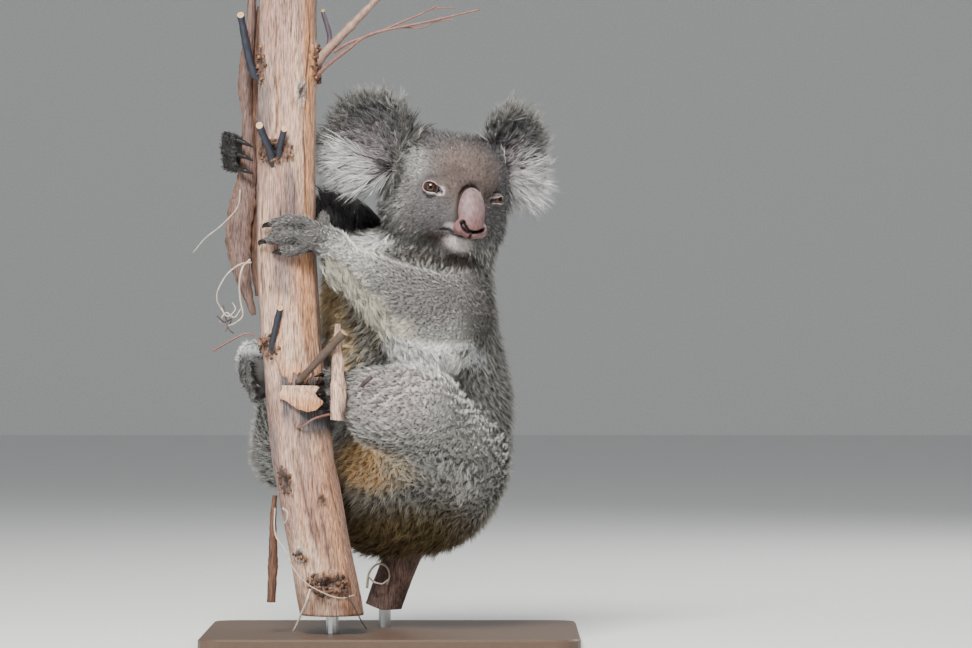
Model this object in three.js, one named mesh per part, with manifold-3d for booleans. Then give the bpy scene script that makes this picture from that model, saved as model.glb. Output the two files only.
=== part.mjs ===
// A life-size koala that clings to a cut length of gum-tree stem, held on a plain display stand.
// Millimetres, +Z up. The origin is the middle of the base's underside, and the koala looks towards -Y with
// its back towards +X. The flesh is one smooth field round named masses, out to the tips of the coat. It is
// parted into head, trunk and limbs where the masses of two parts lie equally near.
import * as THREE from "three";
import { mergeVertices } from "three/addons/utils/BufferGeometryUtils.js";
import Module from "manifold-3d";

const wasm = await Module();
wasm.setup();

const { degToRad, clamp, lerp } = THREE.MathUtils;
const v = (x, y, z) => new THREE.Vector3(x, y, z);

// ---- driving dimensions ----

const partGap = 1.6; // between two parted pieces of the koala
const touchGap = 0.35; // between two pieces that touch
const coatBlend = 24; // how far the masses of the flesh run into each other
const trunkCell = 29.3; // size of the facets on the flesh
const fineCells = { head: 15, hand_left: 16, hand_right: 16, foot_left: 16, foot_right: 16 };

const stemBottom = 38;
const stemTop = 724;
const stemRadiusLow = 35;
const stemRadiusHigh = 31.5;
const seatRadius = 20;

const board = { width: 410, depth: 330, thickness: 18, corner: 24, edge: 2 };
const rodRadius = 7;

const headCentre = v(61, 5, 491);
const headYaw = 24; // the head is turned this far past the -Y side
const headRoll = 8;

// ---- solids and meshes ----

function turnedInsideOut(geometry) {
  const index = geometry.index.array;
  for (let i = 0; i < index.length; i += 3) [index[i + 1], index[i + 2]] = [index[i + 2], index[i + 1]];
  return geometry;
}

function solidOf(geometry) {
  const bare = geometry.clone();
  bare.deleteAttribute("normal");
  bare.deleteAttribute("uv");
  const merged = mergeVertices(bare, 1e-3);
  const build = () =>
    new wasm.Manifold(
      new wasm.Mesh({
        numProp: 3,
        vertProperties: merged.attributes.position.array,
        triVerts: new Uint32Array(merged.index.array),
      }),
    );
  const solid = build();
  if (solid.volume() > 0) return solid;
  turnedInsideOut(merged);
  return build();
}

function geometryOf(solid) {
  const { vertProperties, numProp, numVert, triVerts } = solid.getMesh();
  const places = new Float32Array(numVert * 3);
  for (let i = 0; i < numVert; i++)
    places.set(vertProperties.subarray(i * numProp, i * numProp + 3), i * 3);
  const geometry = new THREE.BufferGeometry();
  geometry.setAttribute("position", new THREE.BufferAttribute(places, 3));
  geometry.setIndex(new THREE.BufferAttribute(triVerts, 1));
  geometry.computeVertexNormals();
  return geometry;
}

// The same solid with its skin pushed out along its normals.
function pushedOut(solid, by) {
  const geometry = geometryOf(solid);
  const place = geometry.attributes.position;
  const normal = geometry.attributes.normal;
  for (let i = 0; i < place.count; i++)
    place.setXYZ(
      i,
      place.getX(i) + by * normal.getX(i),
      place.getY(i) + by * normal.getY(i),
      place.getZ(i) + by * normal.getZ(i),
    );
  return solidOf(geometry);
}

const largestOf = (solid) => solid.decompose().sort((a, b) => b.volume() - a.volume())[0];

// A round bar along a curve: a cylinder with its rings set square to the curve.
function bar(curve, radiusAt, sides, steps) {
  const geometry = new THREE.CylinderGeometry(1, 1, 1, sides, steps);
  const place = geometry.attributes.position;
  const frames = curve.computeFrenetFrames(steps);
  for (let i = 0; i < place.count; i++) {
    const ring = Math.round((0.5 - place.getY(i)) * steps);
    const along = ring / steps;
    const angle = Math.atan2(place.getZ(i), place.getX(i));
    const reach = Math.hypot(place.getX(i), place.getZ(i)) * radiusAt(along, angle);
    const spot = curve
      .getPointAt(along)
      .addScaledVector(frames.normals[ring], reach * Math.cos(angle))
      .addScaledVector(frames.binormals[ring], reach * Math.sin(angle));
    place.setXYZ(i, spot.x, spot.y, spot.z);
  }
  return solidOf(geometry);
}

const spline = (...points) => new THREE.CatmullRomCurve3(points);

// A flat strip through a list of { at, across, width }: a long box bent along its places.
function strip(stations, thickness, grow = 0, steps = stations.length - 1) {
  const middle = spline(...stations.map(({ at }) => at));
  const side = spline(...stations.map(({ across, width }) => across.clone().setLength(width / 2 + grow)));
  const geometry = new THREE.BoxGeometry(2, thickness + 2 * grow, 1, 1, 1, steps);
  const place = geometry.attributes.position;
  for (let i = 0; i < place.count; i++) {
    const along = place.getZ(i) + 0.5;
    const across = side.getPoint(along);
    const out = middle.getTangent(along).cross(across).normalize();
    const spot = middle
      .getPoint(along)
      .addScaledVector(across, place.getX(i))
      .addScaledVector(out, place.getY(i));
    place.setXYZ(i, spot.x, spot.y, spot.z);
  }
  return solidOf(geometry);
}

// ---- the field of the flesh: distances to named masses ----

const offset = new THREE.Vector3();

function roundBar(from, to, fromRadius, toRadius) {
  const line = to.clone().sub(from);
  const lengthSquared = Math.max(line.lengthSq(), 1e-6);
  const away = (point) => {
    offset.copy(point).sub(from);
    const along = clamp(offset.dot(line) / lengthSquared, 0, 1);
    return offset.addScaledVector(line, -along).length() - lerp(fromRadius, toRadius, along);
  };
  const balls = [
    { centre: from, radius: fromRadius },
    { centre: to, radius: toRadius },
  ];
  return { away, balls };
}

const headTurn = new THREE.Matrix4()
  .makeRotationZ(degToRad(headYaw))
  .multiply(new THREE.Matrix4().makeRotationY(degToRad(headRoll)))
  .scale(v(1, -1, 1)); // in the head's own frame +Y is forwards
const headFrame = new THREE.Matrix4().makeTranslation(headCentre).multiply(headTurn);
const intoHead = headFrame.clone().invert();
const onHead = (place) => place.clone().applyMatrix4(headFrame);

function headEgg(centre, radii) {
  const squared = radii.clone().multiply(radii);
  const away = (point) => {
    offset.copy(point).applyMatrix4(intoHead).sub(centre);
    const near = Math.hypot(offset.x / radii.x, offset.y / radii.y, offset.z / radii.z);
    return (near * (near - 1)) / Math.max(offset.divide(squared).length(), 1e-6);
  };
  return { away, balls: [{ centre: onHead(centre), radius: Math.max(radii.x, radii.y, radii.z) }] };
}

function blend(distances) {
  let found = Infinity;
  for (const distance of distances) {
    const share = Math.max(coatBlend - Math.abs(found - distance), 0) / coatBlend;
    found = Math.min(found, distance) - (share * share * coatBlend) / 4;
  }
  return found;
}

// ---- the nets of facets round each part of the flesh ----

const slope = new THREE.Vector3();
const nearby = new THREE.Vector3();

// Moves a point onto all of the surfaces where these functions are zero.
function settled(point, surfaces, reach) {
  const start = point.clone();
  for (let turn = 0; turn < 5; turn++)
    for (const surface of surfaces) {
      const value = surface(point);
      for (let axis = 0; axis < 3; axis++) {
        nearby.copy(point).setComponent(axis, point.getComponent(axis) + 1);
        slope.setComponent(axis, surface(nearby) - value);
      }
      point.addScaledVector(slope, -value / Math.max(slope.lengthSq(), 0.3));
      point.sub(start).clampLength(0, reach).add(start);
    }
  return point;
}

// Samples a box of space as outside or as some part's, with facets between two samples that differ.
function netsIn(box, cell, parts) {
  const size = box.getSize(v(0, 0, 0)).divideScalar(cell).ceil().addScalar(1);
  const counts = [size.x, size.y, size.z];
  const steps = [1, size.x, size.x * size.y];
  const owner = [];
  const eachPlace = (short, visit) => {
    for (let k = 0; k < counts[2] - short; k++)
      for (let j = 0; j < counts[1] - short; j++)
        for (let i = 0; i < counts[0] - short; i++) visit(i + steps[1] * j + steps[2] * k, [i, j, k]);
  };
  const pointAt = (place) => v(...place).multiplyScalar(cell).add(box.min);
  eachPlace(0, (home, place) => {
    const point = pointAt(place);
    if (parts.field(point) >= 0) return;
    const nearer = (best, name) => (parts.away(name, point) < parts.away(best, point) ? name : best);
    owner[home] = parts.names.reduce(nearer);
  });

  // Samples of one part that meet only across a square's corner would pinch its net, so a third joins them.
  let pinches = 1;
  const unpinch = (a, b, c, d) => {
    if (!owner[a] || owner[a] !== owner[b] || owner[c] === owner[a] || owner[d] === owner[a]) return;
    owner[c] = owner[a];
    pinches += 1;
  };
  for (let turn = 0; pinches && turn < 20; turn++) {
    pinches = 0;
    eachPlace(1, (home) => {
      for (let axis = 0; axis < 3; axis++) {
        const [u, w] = [steps[axis], steps[(axis + 1) % 3]];
        unpinch(home, home + u + w, home + u, home + w);
        unpinch(home + u, home + w, home, home + u + w);
      }
    });
  }

  const spots = new Map();
  eachPlace(1, (home, place) => {
    const [x, y, z] = steps;
    const corners = [0, x, y, z, x + y, y + z, x + z, x + y + z];
    const met = [...new Set(corners.map((corner) => owner[home + corner]))];
    if (met.length < 2) return;
    const here = met.filter((name) => name);
    const surfaces = here
      .slice(1)
      .map((name, i) => (point) => parts.away(here[i], point) - parts.away(name, point));
    if (here.length < met.length) surfaces.push(parts.field);
    const middle = pointAt(place).addScalar(cell / 2);
    spots.set(home, settled(middle, surfaces, cell * 0.8));
  });

  const nets = Object.fromEntries(parts.names.map((name) => [name, { facets: [], inner: new Map() }]));
  const addFacet = (name, corners, shared) => {
    const [a, b, c, d] = corners.map((at) => spots.get(at));
    const halves = a.distanceTo(c) < b.distanceTo(d) ? [[0, 1, 2], [0, 2, 3]] : [[0, 1, 3], [1, 2, 3]];
    for (const half of halves) {
      const [p, q, r] = half.map((corner) => corners[corner]);
      nets[name].facets.push([p, q, r]);
      if (!shared) continue;
      const edge = spots.get(q).clone().sub(spots.get(p));
      const normal = edge.cross(spots.get(r).clone().sub(spots.get(p)));
      const { inner } = nets[name];
      for (const at of [p, q, r]) inner.set(at, normal.clone().add(inner.get(at) ?? v(0, 0, 0)));
    }
  };
  eachPlace(1, (home, place) => {
    for (let axis = 0; axis < 3; axis++) {
      const [u, w] = [(axis + 1) % 3, (axis + 2) % 3];
      const [mine, next] = [owner[home], owner[home + steps[axis]]];
      if (!place[u] || !place[w] || mine === next) continue;
      const corners = [home, home - steps[u], home - steps[u] - steps[w], home - steps[w]];
      if (mine) addFacet(mine, corners, Boolean(next));
      if (next) addFacet(next, corners.toReversed(), Boolean(mine));
    }
  });

  // Each part draws back from its neighbours by half the gap.
  const netOf = (name) => {
    const { facets, inner } = nets[name];
    const order = new Map([...new Set(facets.flat())].map((at, i) => [at, i]));
    const places = [...order.keys()].flatMap((at) => {
      const back = inner.has(at) ? inner.get(at).setLength(partGap / 2) : v(0, 0, 0);
      return spots.get(at).clone().sub(back).toArray();
    });
    const geometry = new THREE.BufferGeometry();
    geometry.setAttribute("position", new THREE.Float32BufferAttribute(places, 3));
    geometry.setIndex(facets.flat().map((at) => order.get(at)));
    return largestOf(solidOf(geometry));
  };
  return netOf;
}

// ---- the stem that it holds ----

const stemLine = spline(
  v(-62, -60, stemBottom - 8),
  v(-79, -60, 119),
  v(-95, -60, 206),
  v(-102, -60, 272),
  v(-109, -60, 337),
  v(-113, -60, 420),
  v(-114, -60, 520),
  v(-113, -60, 620),
  v(-111, -60, stemTop + 8),
);

function stemAxisAt(height) {
  let [low, high] = [0, 1];
  for (let i = 0; i < 24; i++) {
    const middle = (low + high) / 2;
    if (stemLine.getPoint(middle).z < height) low = middle;
    else high = middle;
  }
  return stemLine.getPoint(low);
}

const stemRadiusAt = (height) =>
  lerp(stemRadiusLow, stemRadiusHigh, clamp((height - stemBottom) / 500, 0, 1));

// A place round the stem. Angle 0 faces -Y and 90 faces +X, and off is the distance out from the bark.
function round(angle, off, height) {
  const axis = stemAxisAt(height);
  const reach = stemRadiusAt(height) + off;
  return v(axis.x + reach * Math.sin(degToRad(angle)), axis.y - reach * Math.cos(degToRad(angle)), height);
}

function stemSolid(grow) {
  const swell = (along, angle) => {
    const waves = Math.sin(2 * angle + 5 * along) + 0.6 * Math.sin(3 * angle - 14 * along);
    return stemRadiusAt(stemLine.getPointAt(along).z) + grow + waves;
  };
  return bar(stemLine, swell, 12, 10)
    .trimByPlane([0, 0, 1], stemBottom - grow)
    .trimByPlane([0, 0, -1], -stemTop - grow);
}

const knots = [
  { angle: -25, height: 533, width: 15, tall: 14 },
  { angle: -33, height: 332, width: 13, tall: 13 },
  { angle: 8, height: 74, width: 17, tall: 13 },
  { angle: 72, height: 640, width: 13, tall: 22 },
];

function knotSolid({ angle, height, width, tall }, grow) {
  const centre = round(angle, -3, height);
  const knot = new THREE.SphereGeometry(1, 7, 4)
    .scale(width + grow, 8 + grow, tall + grow)
    .rotateZ(degToRad(angle))
    .translate(centre.x, centre.y, centre.z);
  return solidOf(knot);
}

const stemWithKnots = (grow) =>
  knots.reduce((stem, knot) => stem.add(knotSolid(knot, grow)), stemSolid(grow));

// ---- the koala's masses ----

const joint = {
  rump: v(28, 38, 194),
  seat: v(-8, 34, 170),
  hips: v(43, 36, 250),
  loin: v(43, 34, 290),
  belly: v(4, 12, 300),
  chest: v(37, 30, 362),
  breast: v(-14, 14, 388),
  neckBase: v(52, 24, 405),
  neckTop: v(60, 14, 452),
  leftShoulder: v(60, -14, 370),
  leftElbow: v(44, -72, 352),
  leftWrist: v(-68, -87, 440),
  rightShoulder: v(24, 84, 386),
  rightElbow: v(-54, 62, 448),
  rightWrist: v(-146, -8, 515),
  leftHip: v(71, -12, 204),
  leftKnee: v(26, -98, 262),
  leftCalf: v(-6, -92, 258),
  leftAnkle: v(-43, -88, 281),
  rightHip: v(13, 88, 193),
  rightKnee: v(-116, 84, 214),
  rightCalf: v(-117, 52, 256),
  rightAnkle: v(-146, 0, 314),
};

const knuckles = { left: round(36, 14, 448), right: round(-138, 26, 541) };
const soles = { left: round(70, 17, 283), right: round(-128, 22, 294) };

const masses = {
  head: [
    headEgg(v(0, -12, 15), v(68, 64, 60)),
    headEgg(v(-30, -12, 36), v(36, 44, 38)),
    headEgg(v(30, -12, 36), v(36, 44, 38)),
    headEgg(v(-33, -8, -21), v(42, 46, 39)),
    headEgg(v(33, -8, -21), v(42, 46, 39)),
    headEgg(v(0, 22, 24), v(42, 31, 28)),
    headEgg(v(0, 38, -16), v(28, 34, 33)),
    headEgg(v(0, 41, -47), v(18, 21, 12)),
  ],
  neck: [roundBar(joint.neckBase, joint.neckTop, 57, 54)],
  chest: [
    roundBar(joint.chest, joint.loin, 80, 87),
    roundBar(joint.breast, joint.belly, 62, 76),
  ],
  rump: [roundBar(joint.rump, joint.hips, 97, 90), roundBar(joint.seat, joint.rump, 78, 84)],
  upper_arm_left: [roundBar(joint.leftShoulder, joint.leftElbow, 52, 50)],
  forearm_left: [roundBar(joint.leftElbow, joint.leftWrist, 50, 22)],
  hand_left: [roundBar(joint.leftWrist, knuckles.left, 19, 13)],
  upper_arm_right: [roundBar(joint.rightShoulder, joint.rightElbow, 46, 33)],
  forearm_right: [roundBar(joint.rightElbow, joint.rightWrist, 33, 20)],
  hand_right: [roundBar(joint.rightWrist, knuckles.right, 18, 13)],
  thigh_left: [roundBar(joint.leftHip, joint.leftKnee, 61, 47)],
  shank_left: [
    roundBar(joint.leftKnee, joint.leftCalf, 46, 41),
    roundBar(joint.leftCalf, joint.leftAnkle, 41, 21),
  ],
  foot_left: [roundBar(joint.leftAnkle, soles.left, 20, 14)],
  thigh_right: [roundBar(joint.rightHip, joint.rightKnee, 64, 47)],
  shank_right: [
    roundBar(joint.rightKnee, joint.rightCalf, 45, 32),
    roundBar(joint.rightCalf, joint.rightAnkle, 31, 24),
  ],
  foot_right: [roundBar(joint.rightAnkle, soles.right, 22, 17)],
};

const everyMass = Object.values(masses).flat();
const parts = {
  names: Object.keys(masses),
  field: (point) => blend(everyMass.map(({ away }) => away(point))),
  away: (name, point) => blend(masses[name].map(({ away }) => away(point))),
};

function boxRound(names, margin) {
  const box = new THREE.Box3();
  for (const { centre, radius } of names.flatMap((name) => masses[name]).flatMap(({ balls }) => balls)) {
    box.union(new THREE.Box3().setFromCenterAndSize(centre, v(2, 2, 2).multiplyScalar(radius)));
  }
  return box.expandByScalar(margin);
}

// The head, hands and feet have finer nets of their own, and the other parts are cut back from them.
function partedFlesh() {
  const flesh = {};
  for (const [name, cell] of Object.entries(fineCells)) {
    const net = netsIn(boxRound([name], coatBlend + cell), cell, parts)(name);
    flesh[name] = (digits[name] ?? []).reduce((limb, digit) => limb.add(fingerSolid(digit, name)), net);
  }
  const rooms = Object.values(flesh).flatMap((solid) => [pushedOut(solid, partGap / 2), solid]);
  const coarse = netsIn(boxRound(parts.names, 30), trunkCell, parts);
  for (const name of parts.names.filter((name) => !fineCells[name])) {
    flesh[name] = largestOf(rooms.reduce((solid, room) => solid.subtract(room), coarse(name)));
    rooms.push(flesh[name]);
  }
  return flesh;
}

// ---- fingers, toes and claws, each along a line of places round the stem ----

const fingerRadius = 8;
const toeRadius = 8.5;
const clawRadius = 3.1;

// Each entry: places along the flesh, then along the claw, as [angle, off, height].
const digits = {
  hand_left: [
    {
      flesh: [[50, 13, 454], [24, 10, 467], [0, 10, 466], [-21, 8, 462]],
      claw: [[-34, 7, 461], [-46, 2.5, 458]],
    },
    {
      flesh: [[48, 13, 448], [20, 11, 451], [-6, 11, 449], [-30, 8, 444]],
      claw: [[-44, 7, 443], [-56, 2.5, 439]],
    },
    {
      flesh: [[48, 12, 440], [26, 10, 436], [12, 10, 433], [-4, 8, 431]],
      claw: [[-15, 7, 432], [-25, 2.5, 431]],
    },
    {
      flesh: [[58, 13, 456], [82, 11, 468], [108, 8, 471]],
      claw: [[120, 7, 471], [130, 2.5, 470]],
    },
    {
      flesh: [[60, 12, 443], [88, 11, 449], [116, 8, 450]],
      claw: [[128, 7, 449], [138, 2.5, 448]],
    },
  ],
  hand_right: [
    {
      flesh: [[-146, 26, 545], [-118, 38, 556], [-101, 37, 559], [-90, 23, 555]],
      claw: [[-84, 14, 551], [-80, 4, 546]],
    },
    {
      flesh: [[-146, 25, 536], [-118, 38, 543], [-101, 37, 543], [-90, 22, 539]],
      claw: [[-84, 13, 536], [-80, 4, 531]],
    },
    {
      flesh: [[-144, 24, 527], [-118, 36, 528], [-102, 35, 527], [-92, 21, 523]],
      claw: [[-86, 13, 521], [-82, 4, 517]],
    },
    {
      flesh: [[-160, 18, 545], [175, 11, 552], [152, 8, 553]],
      claw: [[141, 7, 552], [132, 2.5, 550]],
    },
    {
      flesh: [[-160, 18, 528], [173, 11, 530], [148, 8, 529]],
      claw: [[137, 7, 528], [128, 2.5, 526]],
    },
  ],
  foot_left: [
    {
      flesh: [[80, 14, 297], [66, 11, 300], [54, 8, 300]],
      claw: [[46, 7, 299], [38, 2.5, 297]],
      slender: true,
    },
    {
      flesh: [[80, 14, 290], [66, 11, 291], [53, 8, 291]],
      claw: [[45, 7, 290], [37, 2.5, 288]],
      slender: true,
    },
    {
      flesh: [[80, 14, 281], [65, 12, 281], [51, 9, 279]],
      claw: [[42, 7, 278], [33, 2.5, 275]],
    },
    {
      flesh: [[80, 14, 270], [66, 12, 267], [54, 9, 265]],
      claw: [[45, 7, 264], [36, 2.5, 261]],
    },
    { flesh: [[86, 15, 274], [106, 10, 266], [128, 8, 263]] },
  ],
  foot_right: [
    {
      flesh: [[-128, 19, 308], [-106, 19, 312], [-95, 13, 311]],
      claw: [[-87, 9, 310], [-80, 4, 307]],
      slender: true,
    },
    {
      flesh: [[-128, 19, 301], [-106, 19, 303], [-94, 13, 302]],
      claw: [[-86, 9, 300], [-79, 4, 298]],
      slender: true,
    },
    {
      flesh: [[-128, 18, 291], [-106, 18, 291], [-93, 13, 290]],
      claw: [[-85, 9, 288], [-78, 4, 285]],
    },
    {
      flesh: [[-130, 17, 279], [-108, 16, 276], [-95, 11, 274]],
      claw: [[-87, 8, 272], [-79, 4, 269]],
    },
    { flesh: [[-146, 19, 288], [-170, 11, 280], [168, 8, 277]] },
  ],
};

function fingerSolid({ flesh, slender }, limb) {
  const full = limb.startsWith("hand") ? fingerRadius : toeRadius;
  const radius = slender ? 5.6 : full;
  const line = spline(...flesh.map((place) => round(...place)));
  return bar(line, (along) => radius * (1 - 0.22 * along * along), 5, 3);
}

function clawSolid({ flesh, claw, slender }) {
  const root = round(...flesh.at(-1));
  const points = claw.map((place) => round(...place));
  const start = root.clone().addScaledVector(points[0].clone().sub(root).normalize(), touchGap + 0.6);
  const radius = slender ? clawRadius * 0.75 : clawRadius;
  return bar(spline(start, ...points), (along) => radius * Math.sqrt(1.02 - along) + 0.25, 4, 2);
}

// ---- the face and the ears, in the head's own frame ----

const eyeRadius = 8.5;
const eyeSpots = { right: v(-40.5, 40, 8), left: v(40.5, 40, 8) };
const nose = { centre: v(0, 68, -15), radii: v(16.5, 12, 31), lean: 15 };
const noseFoot = { centre: v(0, 71, -36), radii: v(18.5, 10, 10) };
const mouth = { centre: v(0, 52, -39.5), radii: v(26, 28, 2.2) };
const ears = {
  right: { centre: v(-97, -14, 52), radii: v(53, 20, 61), tilt: 24, outward: 20 },
  left: { centre: v(82, -14, 65), radii: v(53, 20, 60), tilt: -22, outward: -22 },
};

function headBall(centre, radii, { turn = new THREE.Matrix4(), grow = 0, across = 10, down = 7 } = {}) {
  const place = new THREE.Matrix4().makeTranslation(onHead(centre)).multiply(headTurn).multiply(turn);
  const geometry = new THREE.SphereGeometry(1, across, down)
    .scale(radii.x + grow, radii.y + grow, radii.z + grow)
    .applyMatrix4(place);
  return solidOf(geometry);
}

const eyeRadii = v(eyeRadius, eyeRadius, eyeRadius);
const eyeSolid = (side, grow) => headBall(eyeSpots[side], eyeRadii, { grow, across: 8, down: 6 });

function noseSolid(grow) {
  const turn = new THREE.Matrix4().makeRotationX(degToRad(nose.lean));
  const pad = headBall(nose.centre, nose.radii, { turn, grow });
  return pad.add(headBall(noseFoot.centre, noseFoot.radii, { turn, grow, across: 8, down: 5 }));
}

function earSolid({ centre, radii, tilt, outward }) {
  const turn = new THREE.Matrix4()
    .makeRotationZ(degToRad(outward))
    .multiply(new THREE.Matrix4().makeRotationY(degToRad(tilt)));
  const whole = headBall(centre, radii, { turn, across: 11, down: 6 });
  const forward = v(0, radii.y * 0.95, 0).applyMatrix4(turn);
  const cupRadii = v(radii.x * 0.72, radii.y * 0.8, radii.z * 0.72);
  return whole.subtract(headBall(centre.clone().add(forward), cupRadii, { turn, across: 8, down: 4 }));
}

// ---- loose bark, cut side shoots and twigs on the stem ----

const alongX = v(1, 0, 0);
const peelWidths = [
  [v(-151, -55, 712), 9], [v(-153, -54, 674), 9], [v(-157, -53, 641), 11], [v(-159, -52, 614), 13],
  [v(-157, -50, 587), 9], [v(-155, -49, 554), 10], [v(-156, -50, 522), 13], [v(-161, -54, 489), 19],
  [v(-166, -57, 456), 23], [v(-164, -60, 422), 20], [v(-157, -62, 391), 12], [v(-149, -62, 364), 9],
];
const lowPeelWidths = [
  [v(-126, -62, 168), 5], [v(-128, -62, 141), 8], [v(-128, -62, 98), 11], [v(-130, -62, 52), 9],
];
const ribbonWidths = [
  [v(-56, -112, 354), 8], [v(-56, -113, 331), 10], [v(-56, -116, 306), 14], [v(-55, -120, 276), 18],
  [v(-57, -120, 251), 15],
];
const barkThickness = 2.2;
const hanging = (list, grow = 0) =>
  strip(list.map(([at, width]) => ({ at, across: alongX, width })), barkThickness, grow);

// Each entry: [angle, off, width].
const flapWidths = [[-24, 1.8, 14], [-8, 3, 17], [8, 4.5, 24], [22, 6, 27], [32, 8, 22]];

function flapSolid() {
  const stations = flapWidths.map(([angle, off, width]) => {
    return { at: round(angle, off + barkThickness / 2, 288 - width / 2), across: v(0, 0, 1), width };
  });
  return strip(stations, barkThickness);
}

// Each shoot: its places from the root outwards, then its radius at the root and at the tip.
const shoots = {
  stub_top_left: { places: [v(-140, -68, 618), v(-151, -72, 634), v(-163, -78, 692)], radii: [4.6, 4] },
  stub_pair_outer: { places: [v(-125, -84, 524), v(-131, -95, 544), v(-142, -103, 571)], radii: [4.6, 4] },
  stub_pair_inner: {
    places: [v(-121, -84, 526), v(-119, -97, 545), v(-113, -104, 567)],
    radii: [3.9, 3.3],
  },
  stub_middle: { places: [v(-122, -80, 324), v(-127, -92, 333), v(-118, -99, 374)], radii: [3.8, 3.2] },
  stub_top_right: { places: [v(-82, -52, 636), v(-67, -46, 662), v(-75, -44, 698)], radii: [3.2, 2.6] },
  broken_twig: { places: [v(-100, -93, 291), v(-80, -111, 312), v(-49, -124, 345)], radii: [3.4, 4.8] },
  twig_thick: {
    places: [v(-86, -62, 630), v(-72, -72, 647), v(-38, -76, 682), v(0, -78, 721)],
    radii: [5.2, 3.2],
  },
  twig_long: {
    places: [
      v(-84, -66, 617),
      v(-72, -77, 631),
      v(-45, -82, 652),
      v(-20, -84, 668),
      v(40, -86, 681),
      v(96, -86, 694),
    ],
    radii: [2.2, 1.4],
  },
};
const shootSolid = ({ places, radii }, grow = 0) =>
  bar(spline(...places), (along) => lerp(...radii, along) + grow, 5, places.length);

// ---- the stand ----

function boardSolid() {
  const { width, depth, thickness, corner, edge } = board;
  const [x, y] = [width / 2 - edge, depth / 2 - edge];
  const outline = new THREE.Shape();
  outline.absarc(x - corner, y - corner, corner, 0, Math.PI / 2);
  outline.absarc(corner - x, y - corner, corner, Math.PI / 2, Math.PI);
  outline.absarc(corner - x, corner - y, corner, Math.PI, 1.5 * Math.PI);
  outline.absarc(x - corner, corner - y, corner, 1.5 * Math.PI, 2 * Math.PI);
  const geometry = new THREE.ExtrudeGeometry(outline, {
    depth: thickness - 2 * edge,
    bevelThickness: edge,
    bevelSize: edge,
    bevelSegments: 1,
    curveSegments: 3,
  });
  return solidOf(mergeVertices(geometry.translate(0, 0, edge)));
}

function rodSolid(place) {
  const length = stemBottom - board.thickness;
  const geometry = new THREE.CylinderGeometry(rodRadius, rodRadius, length, 10).rotateX(Math.PI / 2);
  return solidOf(geometry.translate(place.x, place.y, board.thickness + length / 2));
}

const seatLine = spline(v(-11, 45, stemBottom - 8), v(-4, 45, 60), v(9, 44, 92), v(22, 43, 122));
const seatSolid = (grow) =>
  bar(seatLine, (along, angle) => seatRadius + grow + 0.6 * Math.sin(2 * angle + 4 * along), 12, 3)
    .trimByPlane([0, 0, 1], stemBottom);

// ---- the whole model ----

const finishes = {
  coat: { color: 0x8a857c, roughness: 0.95, metalness: 0 },
  nose: { color: 0x8f7478, roughness: 0.6, metalness: 0 },
  eye: { color: 0x3a2416, roughness: 0.1, metalness: 0 },
  claw: { color: 0x1d1a19, roughness: 0.4, metalness: 0 },
  bark: { color: 0xb58f76, roughness: 0.85, metalness: 0 },
  shoot: { color: 0x3c4252, roughness: 0.7, metalness: 0 },
  board: { color: 0x6b5a4a, roughness: 0.5, metalness: 0 },
  rod: { color: 0x9a9c9f, roughness: 0.3, metalness: 1 },
};
const model = new THREE.Group();

function show(name, solid, finish) {
  const material = new THREE.MeshStandardMaterial({ name: finish, ...finishes[finish] });
  const mesh = new THREE.Mesh(geometryOf(solid), material);
  mesh.name = name;
  model.add(mesh);
}

const stem = stemWithKnots(0);
const stemRoom = stemWithKnots(touchGap);
const peelRoom = hanging(peelWidths, touchGap);
const ribbonRoom = hanging(ribbonWidths, touchGap);
const seatRoom = seatSolid(touchGap);

const flesh = partedFlesh();
const headRoom = pushedOut(flesh.head, partGap);
flesh.rump = flesh.rump.subtract(seatRoom);
const mouthCut = headBall(mouth.centre, mouth.radii, { across: 8, down: 4 });
flesh.head = flesh.head.subtract(noseSolid(touchGap)).subtract(mouthCut);
for (const side of ["left", "right"]) flesh.head = flesh.head.subtract(eyeSolid(side, touchGap));
for (const [limb, list] of Object.entries(digits)) {
  const limbRoom = pushedOut(flesh[limb], touchGap);
  list.forEach((digit, i) => {
    if (!digit.claw) return;
    const claw = clawSolid(digit).subtract(limbRoom).subtract(stemRoom).subtract(peelRoom);
    show(`claw_${limb}_${i + 1}`, largestOf(claw), "claw");
  });
}
for (const [name, solid] of Object.entries(flesh)) {
  show(name, largestOf(solid.subtract(stemRoom).subtract(peelRoom).subtract(ribbonRoom)), "coat");
}

for (const side of ["left", "right"]) {
  show("ear_" + side, largestOf(earSolid(ears[side]).subtract(headRoom)), "coat");
  show("eye_" + side, eyeSolid(side, 0), "eye");
}
show("nose", noseSolid(0), "nose");

show("stem", stem, "bark");
show("seat_stem", seatSolid(0), "bark");
show("bark_peel", largestOf(hanging(peelWidths).subtract(stemRoom)), "bark");
show("bark_peel_low", largestOf(hanging(lowPeelWidths).subtract(stemRoom)), "bark");
show("bark_ribbon", hanging(ribbonWidths), "bark");
show("bark_flap", flapSolid(), "bark");
for (const [name, shoot] of Object.entries(shoots)) {
  show(name, largestOf(shootSolid(shoot).subtract(stemRoom)), "shoot");
}

show("stand_base", boardSolid(), "board");
show("stand_rod_stem", rodSolid(stemAxisAt(stemBottom)), "rod");
show("stand_rod_seat", rodSolid(v(-9, 45, 0)), "rod");

export default model;
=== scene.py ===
# A life-size koala that clings to a cut gum-tree stem on a plain display stand.
import math

import bpy
import numpy as np
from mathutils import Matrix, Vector, kdtree
from mathutils.bvhtree import BVHTree


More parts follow.
